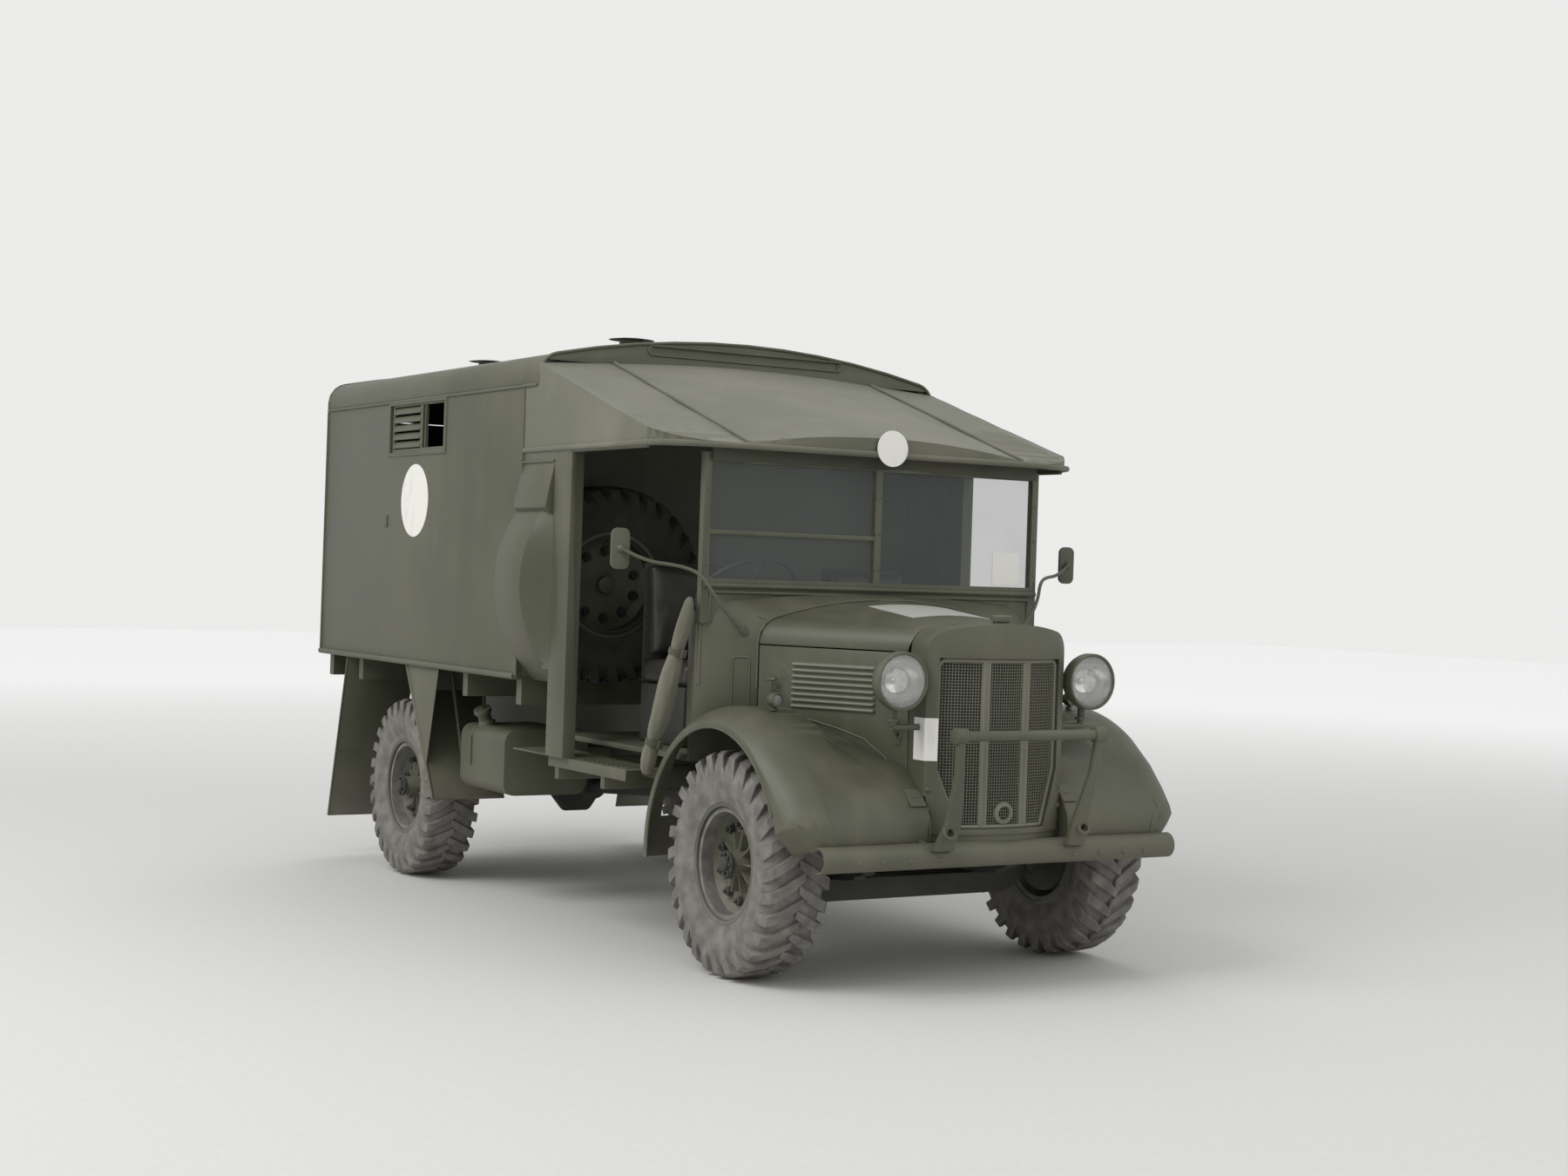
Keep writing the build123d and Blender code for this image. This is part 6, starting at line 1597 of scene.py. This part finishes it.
@dataclass
class CanvasDoor:
    """Rolled canvas door, strapped twice and hung from the windscreen post."""

    low: Point = (1.308, -1.010, 0.790)
    high: Point = (1.498, -0.9183, 1.560)
    # Share of the length and radius there.
    rows: tuple[Pair, ...] = (
        (0.0, 0.004), (0.006, 0.018), (0.03, 0.027), (0.08, 0.036), (0.14, 0.036), (0.175, 0.030),
        (0.195, 0.029), (0.22, 0.033), (0.30, 0.043), (0.40, 0.047), (0.50, 0.047), (0.58, 0.043),
        (0.655, 0.034), (0.685, 0.029), (0.705, 0.029), (0.73, 0.033), (0.79, 0.037),
        (0.86, 0.036), (0.92, 0.031), (0.965, 0.024), (0.992, 0.014), (1.0, 0.004))
    straps: tuple[Pair, ...] = ((0.185, 0.0335), (0.695, 0.0330))
    strap_half: float = 0.012
    strap_thick: float = 0.003
    fold_depth: float = 0.0085
    lap_depth: float = 0.004
    flatness: float = 0.92

    def profile(self, length: float) -> list[Pair]:
        """Radius and height along the roll, in short steps."""
        line = []
        for (start, first), (end, last) in zip(self.rows, self.rows[1:]):
            steps = max(1, int((end - start) * 60))
            line += [(first + (last - first) * k / steps,
                      (start + (end - start) * k / steps) * length) for k in range(steps)]
        return [*line, (self.rows[-1][1], length)]

    def crease(self, roll: Piece) -> None:
        """Gives the roll its folds and the lap of its free edge."""
        for vertex in roll.data.vertices:
            x, y, z = vertex.co
            turn = noise.noise(Vector((z * 2.0, 0.0, 3.0))) * 1.2
            fold = noise.noise(Vector((x * 22.0 + turn, y * 22.0, z * 5.0)))
            fold += 0.5 * noise.noise(Vector((x * 50.0, y * 50.0, z * 9.0)))
            lapped = x * cos(turn) + y * sin(turn) > 0 and y > 0
            out = fold * self.fold_depth + (self.lap_depth if lapped else 0.0)
            grow = 1.0 + out / max((x * x + y * y) ** 0.5, 0.02)
            vertex.co = (x * grow, y * grow * self.flatness, z)

    def build(self) -> None:
        """Makes the roll and its straps."""
        along = Vector(self.high) - Vector(self.low)
        stand = Matrix.Translation(self.low) @ facing(along)
        roll = Bench.turned("door_roll", self.profile(along.length), 48, Axis.Z)
        self.crease(roll)
        roll.data.transform(stand)
        Bench.place(Bench.smooth(roll, radians(50)), "canvas", ROOT, "canvas_roll")
        parts = []
        for share, radius in self.straps:
            z, out = share * along.length, radius + self.strap_thick
            low, high = z - self.strap_half, z + self.strap_half
            section = [(radius, low), (out, low), (out, high), (radius, high)]
            parts.append(Bench.turned("strap", section, 40, Axis.Z, closed=True))
            parts.append(Bench.block("buckle", (-0.016, -radius - 0.009, z - 0.017),
                                     (0.016, -radius - 0.001, z + 0.017)))
        band = Bench.join([Bench.smooth(part) for part in parts], "door_straps")
        band.data.transform(stand)
        Bench.place(band, "canvas_dark")


@dataclass
class Seats:
    """Two seats: a pressed base with a swollen cushion and back."""

    centre: float = 0.480
    frames: int = 20
    voxel: float = 0.010
    # Name, lowest corner, highest corner, lean about Y, most that a point may move.
    pads: tuple[tuple[str, Point, Point, float, float], ...] = (
        ("seat_cushion", (0.632, -0.238, 1.158), (1.088, 0.238, 1.246), 0.0, 0.014),
        ("seat_back", (0.628, -0.218, 1.270), (0.698, 0.218, 1.700), -0.10, 0.014))
    rest: tuple[Pair, ...] = ((0.612, 1.150), (0.628, 1.150), (0.612, 1.700), (0.600, 1.700))

    def swell(self, piece: Piece, cap: float) -> None:
        """Blows a pad up by cloth pressure.

        Args:
            piece: The pad's mesh.
            cap: Most that a point may move, in metres.
        """
        start = [vertex.co.copy() for vertex in piece.data.vertices]
        Bench.pick(piece)
        bpy.ops.object.modifier_add(type="CLOTH")
        cloth = piece.modifiers[-1]
        cloth.settings.use_pressure = True
        cloth.settings.uniform_pressure_force = 4.0
        cloth.settings.effector_weights.gravity = 0.0
        for number in range(1, self.frames + 1):
            bpy.context.scene.frame_set(number)
        bpy.ops.object.modifier_apply(modifier=cloth.name)
        bpy.context.scene.frame_set(1)
        for vertex, before in zip(piece.data.vertices, start):
            move = vertex.co - before
            if move.length > cap:
                vertex.co = before + move.normalized() * cap

    def pad(self, name: str, low: Point, high: Point, tilt: float, cap: float) -> Piece:
        """Swollen cushion between two corners.

        Args:
            name: The pad's name.
            low: Lowest corner before it swells.
            high: Highest corner.
            tilt: Lean back about Y, in radians.
            cap: Most that a point may move, in metres.

        Returns:
            The pad.
        """
        piece = Bench.soften(Bench.block(f"{name}_pad", low, high), 0.020, 3)
        Bench.modify(piece, "REMESH", mode="VOXEL", voxel_size=self.voxel)
        self.swell(piece, cap)
        Bench.modify(piece, "SMOOTH", factor=0.5, iterations=4)
        middle = (Vector(low) + Vector(high)) / 2
        lean = Matrix.Rotation(tilt, 4, "Y")
        piece.data.transform(Matrix.Translation(middle) @ lean @ Matrix.Translation(-middle))
        return Bench.smooth(piece, radians(60))

    def build(self) -> None:
        """Makes both seats."""
        base = Bench.block("base", (0.645, -0.235, 0.881), (1.075, 0.235, 1.148))
        rest = Bench.slab("rest", [(x, -0.215, z) for x, z in self.rest], (0, 0.43, 0))
        parts = [Bench.soften(base, 0.012, 3), Bench.soften(rest, 0.004)]
        shell = Bench.join(parts, "seat_shell")
        pads = [(row[0], self.pad(*row)) for row in self.pads]
        moves = either_side((0.0, self.centre, 0.0))
        shells = Bench.copies(shell, moves, "seat_shells")
        Bench.place(shells, "chassis_paint", ROOT, "cab_seats")
        for name, piece in pads:
            for side, move in zip(("right", "left"), moves):
                twin = Bench.twin(piece, move, f"{name}_{side}")
                Bench.place(twin, "seat_leathercloth", ROOT, "cab_seats")
            bpy.data.objects.remove(piece)


@dataclass
class SteeringWheel:
    """Three-spoke wheel on its column."""

    centre: Point = (1.190, -0.480, 1.590)
    lean: Point = (-0.62, 0.0, 0.78)
    radius: float = 0.225
    spokes: int = 3
    hub: tuple[Pair, ...] = (
        (0.0, 0.026), (0.020, 0.026), (0.034, 0.018), (0.038, 0.0), (0.034, -0.024),
        (0.021, -0.026), (0.020, -0.340), (0.0, -0.340))

    def build(self) -> None:
        """Makes the wheel in its own frame, then leans it."""
        rim = [(self.radius + u, v) for u, v in circle(0.012, 12, 12)]
        spoke = Bench.rod("spoke", (0.030, 0, 0.004), (self.radius, 0, 0.0), 0.0075, 12)
        turns = [Matrix.Rotation(2 * pi * n / self.spokes + pi / 2, 4, "Z")
                 for n in range(self.spokes)]
        parts = [Bench.turned("rim", rim, 72, Axis.Z, closed=True),
                 Bench.turned("hub", self.hub, 32, Axis.Z), Bench.copies(spoke, turns, "spokes")]
        whole = Bench.smooth(Bench.join(parts, "steering_wheel_skin"))
        whole.data.transform(Matrix.Translation(self.centre) @ facing(Vector(self.lean)))
        node = "steering_wheel"
        Bench.place(whole, HOME[node], CARRIER[node], node)


@dataclass
class BodyTrim:
    """Mouldings, blank discs, rivets, handles and window slats on the load body and cab."""

    disc: Pair = (-1.268, 1.988)
    disc_radius: float = 0.190
    recess_z: float = 2.721
    arch_radius: float = 0.563
    bumper_bolts: tuple[float, ...] = (0.334, 0.473, 0.600, 0.710)
    slats: int = 5
    ribs: int = 11
    guard_side: float = 1.091
    guard_inner: float = 0.702

    def mouldings(self) -> None:
        """Rolls along the seams of the load body, its arches and the crown's recess."""
        side, rear, front = BODY_SIDE + 0.001, BODY_REAR + 0.006, 0.112
        left = Bench.tubes([
            ([(BODY_REAR + 0.004, side, 2.514), (0.250, side, 2.514)], 0.008),
            ([(rear, side, 1.145), (0.100, side, 1.145)], 0.016),
            ([(front, side, BODY_LOW), (front, side, 2.200)], 0.009),
            ([(0.118, side, 2.206), (front, side, 2.514)], 0.007),
            ([(rear, side, BODY_LOW), (rear, side, 2.505)], 0.007)], "side_rolls")
        parts = [Bench.copies(left, MIRRORED, "rolls")]
        for x in (HEADER + 0.001, BODY_REAR + 0.003):
            arch = roof_line(BODY_SIDE - 0.002, 2.560, 0.110, 13, 2.512)
            parts.append(Bench.tube("arch", [(x, y, z) for y, z in arch], 0.008))
        bend = circle(1.0, 7, 12, -pi / 2)
        ends = [(0.520 + 0.020 * u, self.recess_z + 0.023 * v) for u, v in bend]
        line = [*ends, *[(-y, z) for y, z in reversed(ends)]]
        ring = [(HEADER + 0.001, y, z) for y, z in line]
        parts.append(Bench.tube("recess", ring, 0.0065, closed=True))
        Bench.place(Bench.join(parts, "body_mouldings"))

    def discs(self) -> None:
        """Plain white discs on the sides and over the windscreen, and a blank rear plate."""
        x, z = self.disc
        side = Bench.rod("disc", (x, BODY_SIDE - 0.001, z), (x, BODY_SIDE + 0.0012, z),
                         self.disc_radius, 64)
        front = Bench.rod("front", (1.614, 0, 2.239), (1.617, 0, 2.239), 0.080, 56)
        plate = Bench.block("plate", (BODY_REAR - 0.004, 0.905, 1.46),
                            (BODY_REAR + 0.001, 1.055, 1.58))
        parts = [Bench.copies(Bench.soften(side, 0.0004, 1), MIRRORED, "discs"),
                 Bench.soften(front, 0.0008, 1), Bench.soften(plate, 0.0008, 1)]
        Bench.place(Bench.join(parts, "blank_discs"), "white_enamel")

    def rivets(self) -> None:
        """Rows of rivets, small fittings and bumper bolts."""
        across, ahead, skin = Vector((0, 1, 0)), Vector((1, 0, 0)), BODY_SIDE - 0.0005
        rows = [((x, skin, 0.90 + 0.092 * n), across) for n in range(15) for x in (0.490, 0.648)]
        rows += [((-2.60 + 0.18 * n, skin, 1.182), across) for n in range(16)]
        rows += [((1.518, y, z), ahead) for z in (1.70, 1.86, 2.02, 2.15) for y in (0.012, 0.862)]
        rows += [((1.518, 0.10 + 0.19 * n, z), ahead) for n in range(5) for z in (1.624, 2.162)]
        bolts = [((2.5862, y, 0.551), Vector((0.97, 0.0, -0.24))) for y in self.bumper_bolts]
        bolts += [((bow(0.33), 0.33, z), Vector((0.8, 0.6, 0))) for z in (0.74, 0.82)]
        small = Bench.copies(Bench.studs("rivets", rows, 0.006, 0.003), MIRRORED, "rivet_rows")
        large = Bench.copies(Bench.studs("bolts", bolts, 0.012, 0.007), MIRRORED, "bolt_rows")
        eye = [(0.026 + u, v) for u, v in circle(0.0075, 10, 10)]
        rim = Bench.smooth(Bench.turned("rim", eye, 32, Axis.Z, closed=True))
        lean = Matrix.Rotation(radians(67), 4, "Y")
        moves = [move @ lean for move in either_side((2.6445, 0.334, 0.668))]
        Bench.place(Bench.copies(rim, moves, "guard_eyes"))
        tab = Bench.block("tab", (-1.700, -BODY_SIDE - 0.006, 1.850),
                          (-1.655, -BODY_SIDE + 0.001, 1.912))
        parts = [small, large, Bench.soften(tab, 0.002, 1)]
        Bench.place(Bench.join(parts, "rivets_and_bolts"))

    def handle(self) -> None:
        """Bent handle on its rose, on the left rear door."""
        y, z, out = 0.055, 1.690, BODY_REAR - 0.028
        line = [(BODY_REAR - 0.004, y, z), (out, y, z), (out, y, z + 0.110)]
        bar = Bench.tube("handle", line, 0.007)
        rose = Bench.rod("rose", (BODY_REAR - 0.006, y, z), (BODY_REAR + 0.001, y, z), 0.022)
        whole = Bench.join([bar, Bench.soften(rose, 0.001, 1)], "rear_door_handle")
        Bench.place(whole, "bright_steel", "rear_door_left")

    def wings(self) -> None:
        """Rolled edges round the front wheel arches."""
        axle_x, axle_z = FRONT_AXLE
        angles = [radians(a) for a in range(182, 24, -6)]
        arch = [(axle_x + self.arch_radius * cos(a), 0.979, axle_z + self.arch_radius * sin(a))
                for a in angles]
        Bench.both(Bench.tube("arch", arch, 0.006), "wing_beads")

    def steps(self) -> None:
        """Raised treads on the cab's side steps."""
        starts = [0.690 + 0.048 * n for n in range(self.ribs)]
        ribs = [Bench.block("rib", (x, 0.905, 0.8045), (x + 0.018, 1.040, 0.8095)) for x in starts]
        Bench.both(Bench.soften(Bench.join(ribs, "ribs"), 0.001, 1), "step_ribs")

    def cover(self) -> None:
        """Front face, top hood and bead of the spare wheel's cover."""
        front, deep, axis_y = 0.4062, 0.071, COVER_RADIUS - COVER_BULGE - BODY_SIDE

        def rim(turn: float, radius: float) -> Pair:
            """Place (y, z) on the cover's edge, kept outside the body's skin."""
            return min(axis_y - radius * cos(turn), -BODY_SIDE), COVER_Z + radius * sin(turn)

        def lay(u: float, v: float) -> Point:
            """Place on the face: from the cover's edge to the door post."""
            y, z = rim(u * 1.440, COVER_RADIUS)
            share = v + 0.5
            return front + deep * share, y + (-BODY_SIDE + 0.001 - y) * share, z
        face = Bench.laid("cover_face", 28, 2, lay)
        Bench.modify(face, "SOLIDIFY", thickness=0.003, offset=0.0)
        Bench.modify(face, "WELD", merge_threshold=0.0004)
        section = [(-1.100, 2.152), (-1.142, 1.952), (-1.142, 1.938), (-1.100, 1.900)]
        hood = Bench.slab("hood", [(0.111, y, z) for y, z in section], (0.364, 0, 0))
        edge = [(front, *rim(-0.70 + 0.07 * k, COVER_RADIUS - 0.005)) for k in range(21)]
        trim = Bench.tubes([([(0.110, -1.104, 2.153), (0.475, -1.104, 2.153)], 0.006),
                            (edge, 0.0045)], "trim")
        parts = [Bench.smooth(face), Bench.soften(hood, 0.002), trim]
        Bench.place(Bench.join(parts, "spare_cover_face"))

    def filler(self) -> None:
        """Slanted filler neck with its cap, and the strap round the tank."""
        # Name, foot, head, radius, sides, rounded edge; heights from the tank's top.
        rows = [("neck", (-0.622, -0.925, -0.006), (-0.606, -0.958, 0.062), 0.032, 24, 0.002),
                ("cap", (-0.6065, -0.957, 0.060), (-0.6015, -0.9665, 0.082), 0.044, 24, 0.003),
                ("knob", (-0.602, -0.966, 0.080), (-0.600, -0.970, 0.090), 0.012, 12, 0.0)]
        parts = []
        for name, foot, head, radius, sides, edge in rows:
            foot, head = [(x, y, TANK_TOP + z) for x, y, z in (foot, head)]
            piece = Bench.rod(name, foot, head, radius, sides)
            parts.append(Bench.soften(piece, edge) if edge else piece)
        strap = [(-1.003, -0.200), (-1.003, -0.058), (-0.985, -0.018), (-0.945, 0.002),
                 (-0.700, 0.002)]
        parts.append(Bench.tube("strap", [(-0.640, y, TANK_TOP + z) for y, z in strap], 0.006))
        Bench.place(Bench.join(parts, "tank_filler"))

    def guards(self) -> None:
        """Rolled edges and stays of the rear mudguards."""
        side, inner = self.guard_side, self.guard_inner
        top, front_low, rear_low = 1.140, 0.467, 0.222
        edges = Bench.tubes([
            ([(-1.331, side, top), (-0.907, side, front_low)], 0.009),
            ([(-0.907, side, front_low), (-0.907, inner, front_low)], 0.007),
            ([(-2.227, side, top), (-2.468, side, rear_low)], 0.006),
            ([(-2.468, side, rear_low), (-2.468, inner, rear_low)], 0.005),
            ([(-1.050, 0.960, top), (-0.985, 0.900, 0.640)], 0.010),
            ([(-1.050, 0.780, top), (-0.985, 0.780, 0.640)], 0.010)], "edges")
        seam = Bench.block("seam", (-2.380, inner, 0.585), (-2.366, side, 0.606))
        Bench.both(Bench.join([edges, Bench.soften(seam, 0.002, 1)], "left"), "mudguard_edges")

    def shutters(self) -> None:
        """Curved slats and a sliding pane's frame in each side window."""
        rear, split, front, low, high = -1.624, -1.215, -0.894, 2.262, 2.486
        y = BODY_SIDE - 0.012
        # Each rail's start and end along the window, then its lower and upper edge.
        rails = [(rear, front, low - 0.018, low), (rear, front, high, high + 0.018),
                 (rear, rear + 0.020, low, high), (front - 0.014, front, low, high),
                 (split - 0.016, split + 0.016, low, high),
                 (split + 0.050, split + 0.058, low, high)]
        blocks = [Bench.block("rail", (start, y - 0.009, foot), (end, y + 0.009, top))
                  for start, end, foot, top in rails]
        parts = [Bench.soften(block, 0.0015, 1) for block in blocks]
        pitch = (high - low) / self.slats
        for number in range(self.slats):
            z = low + pitch * number
            outer = [(y + out, z + pitch * share) for out, share in
                     ((-0.008, 0.98), (0.003, 0.80), (0.010, 0.48), (0.013, 0.14))]
            inner = [(across - 0.003, up - 0.002) for across, up in reversed(outer)]
            corners = [(rear + 0.016, across, up) for across, up in [*outer, *inner]]
            parts.append(Bench.smooth(Bench.slab("slat", corners, (split - rear - 0.028, 0, 0))))
        Bench.both(Bench.join(parts, "shutter"), "window_shutters", "olive_paint", "side_shutters")

    def build(self) -> None:
        """Makes all of the trim."""
        for make in (self.mouldings, self.discs, self.rivets, self.handle, self.wings, self.steps,
                     self.cover, self.filler, self.guards, self.shutters):
            make()


def main() -> None:
    """Builds the studio and every sub-assembly in order."""
    logging.basicConfig(level=logging.INFO, format="%(message)s")
    Studio().build()
    Carried().dress()
    for assembly in (SoftEdges(), CrossCountryTyre(), WheelFittings(), Grille(), BonnetTrim(),
                     Lamps(), Mirrors(), Canopy(), CanvasDoor(), Seats(), SteeringWheel(),
                     BodyTrim()):
        assembly.build()


if __name__ == "__main__":
    main()
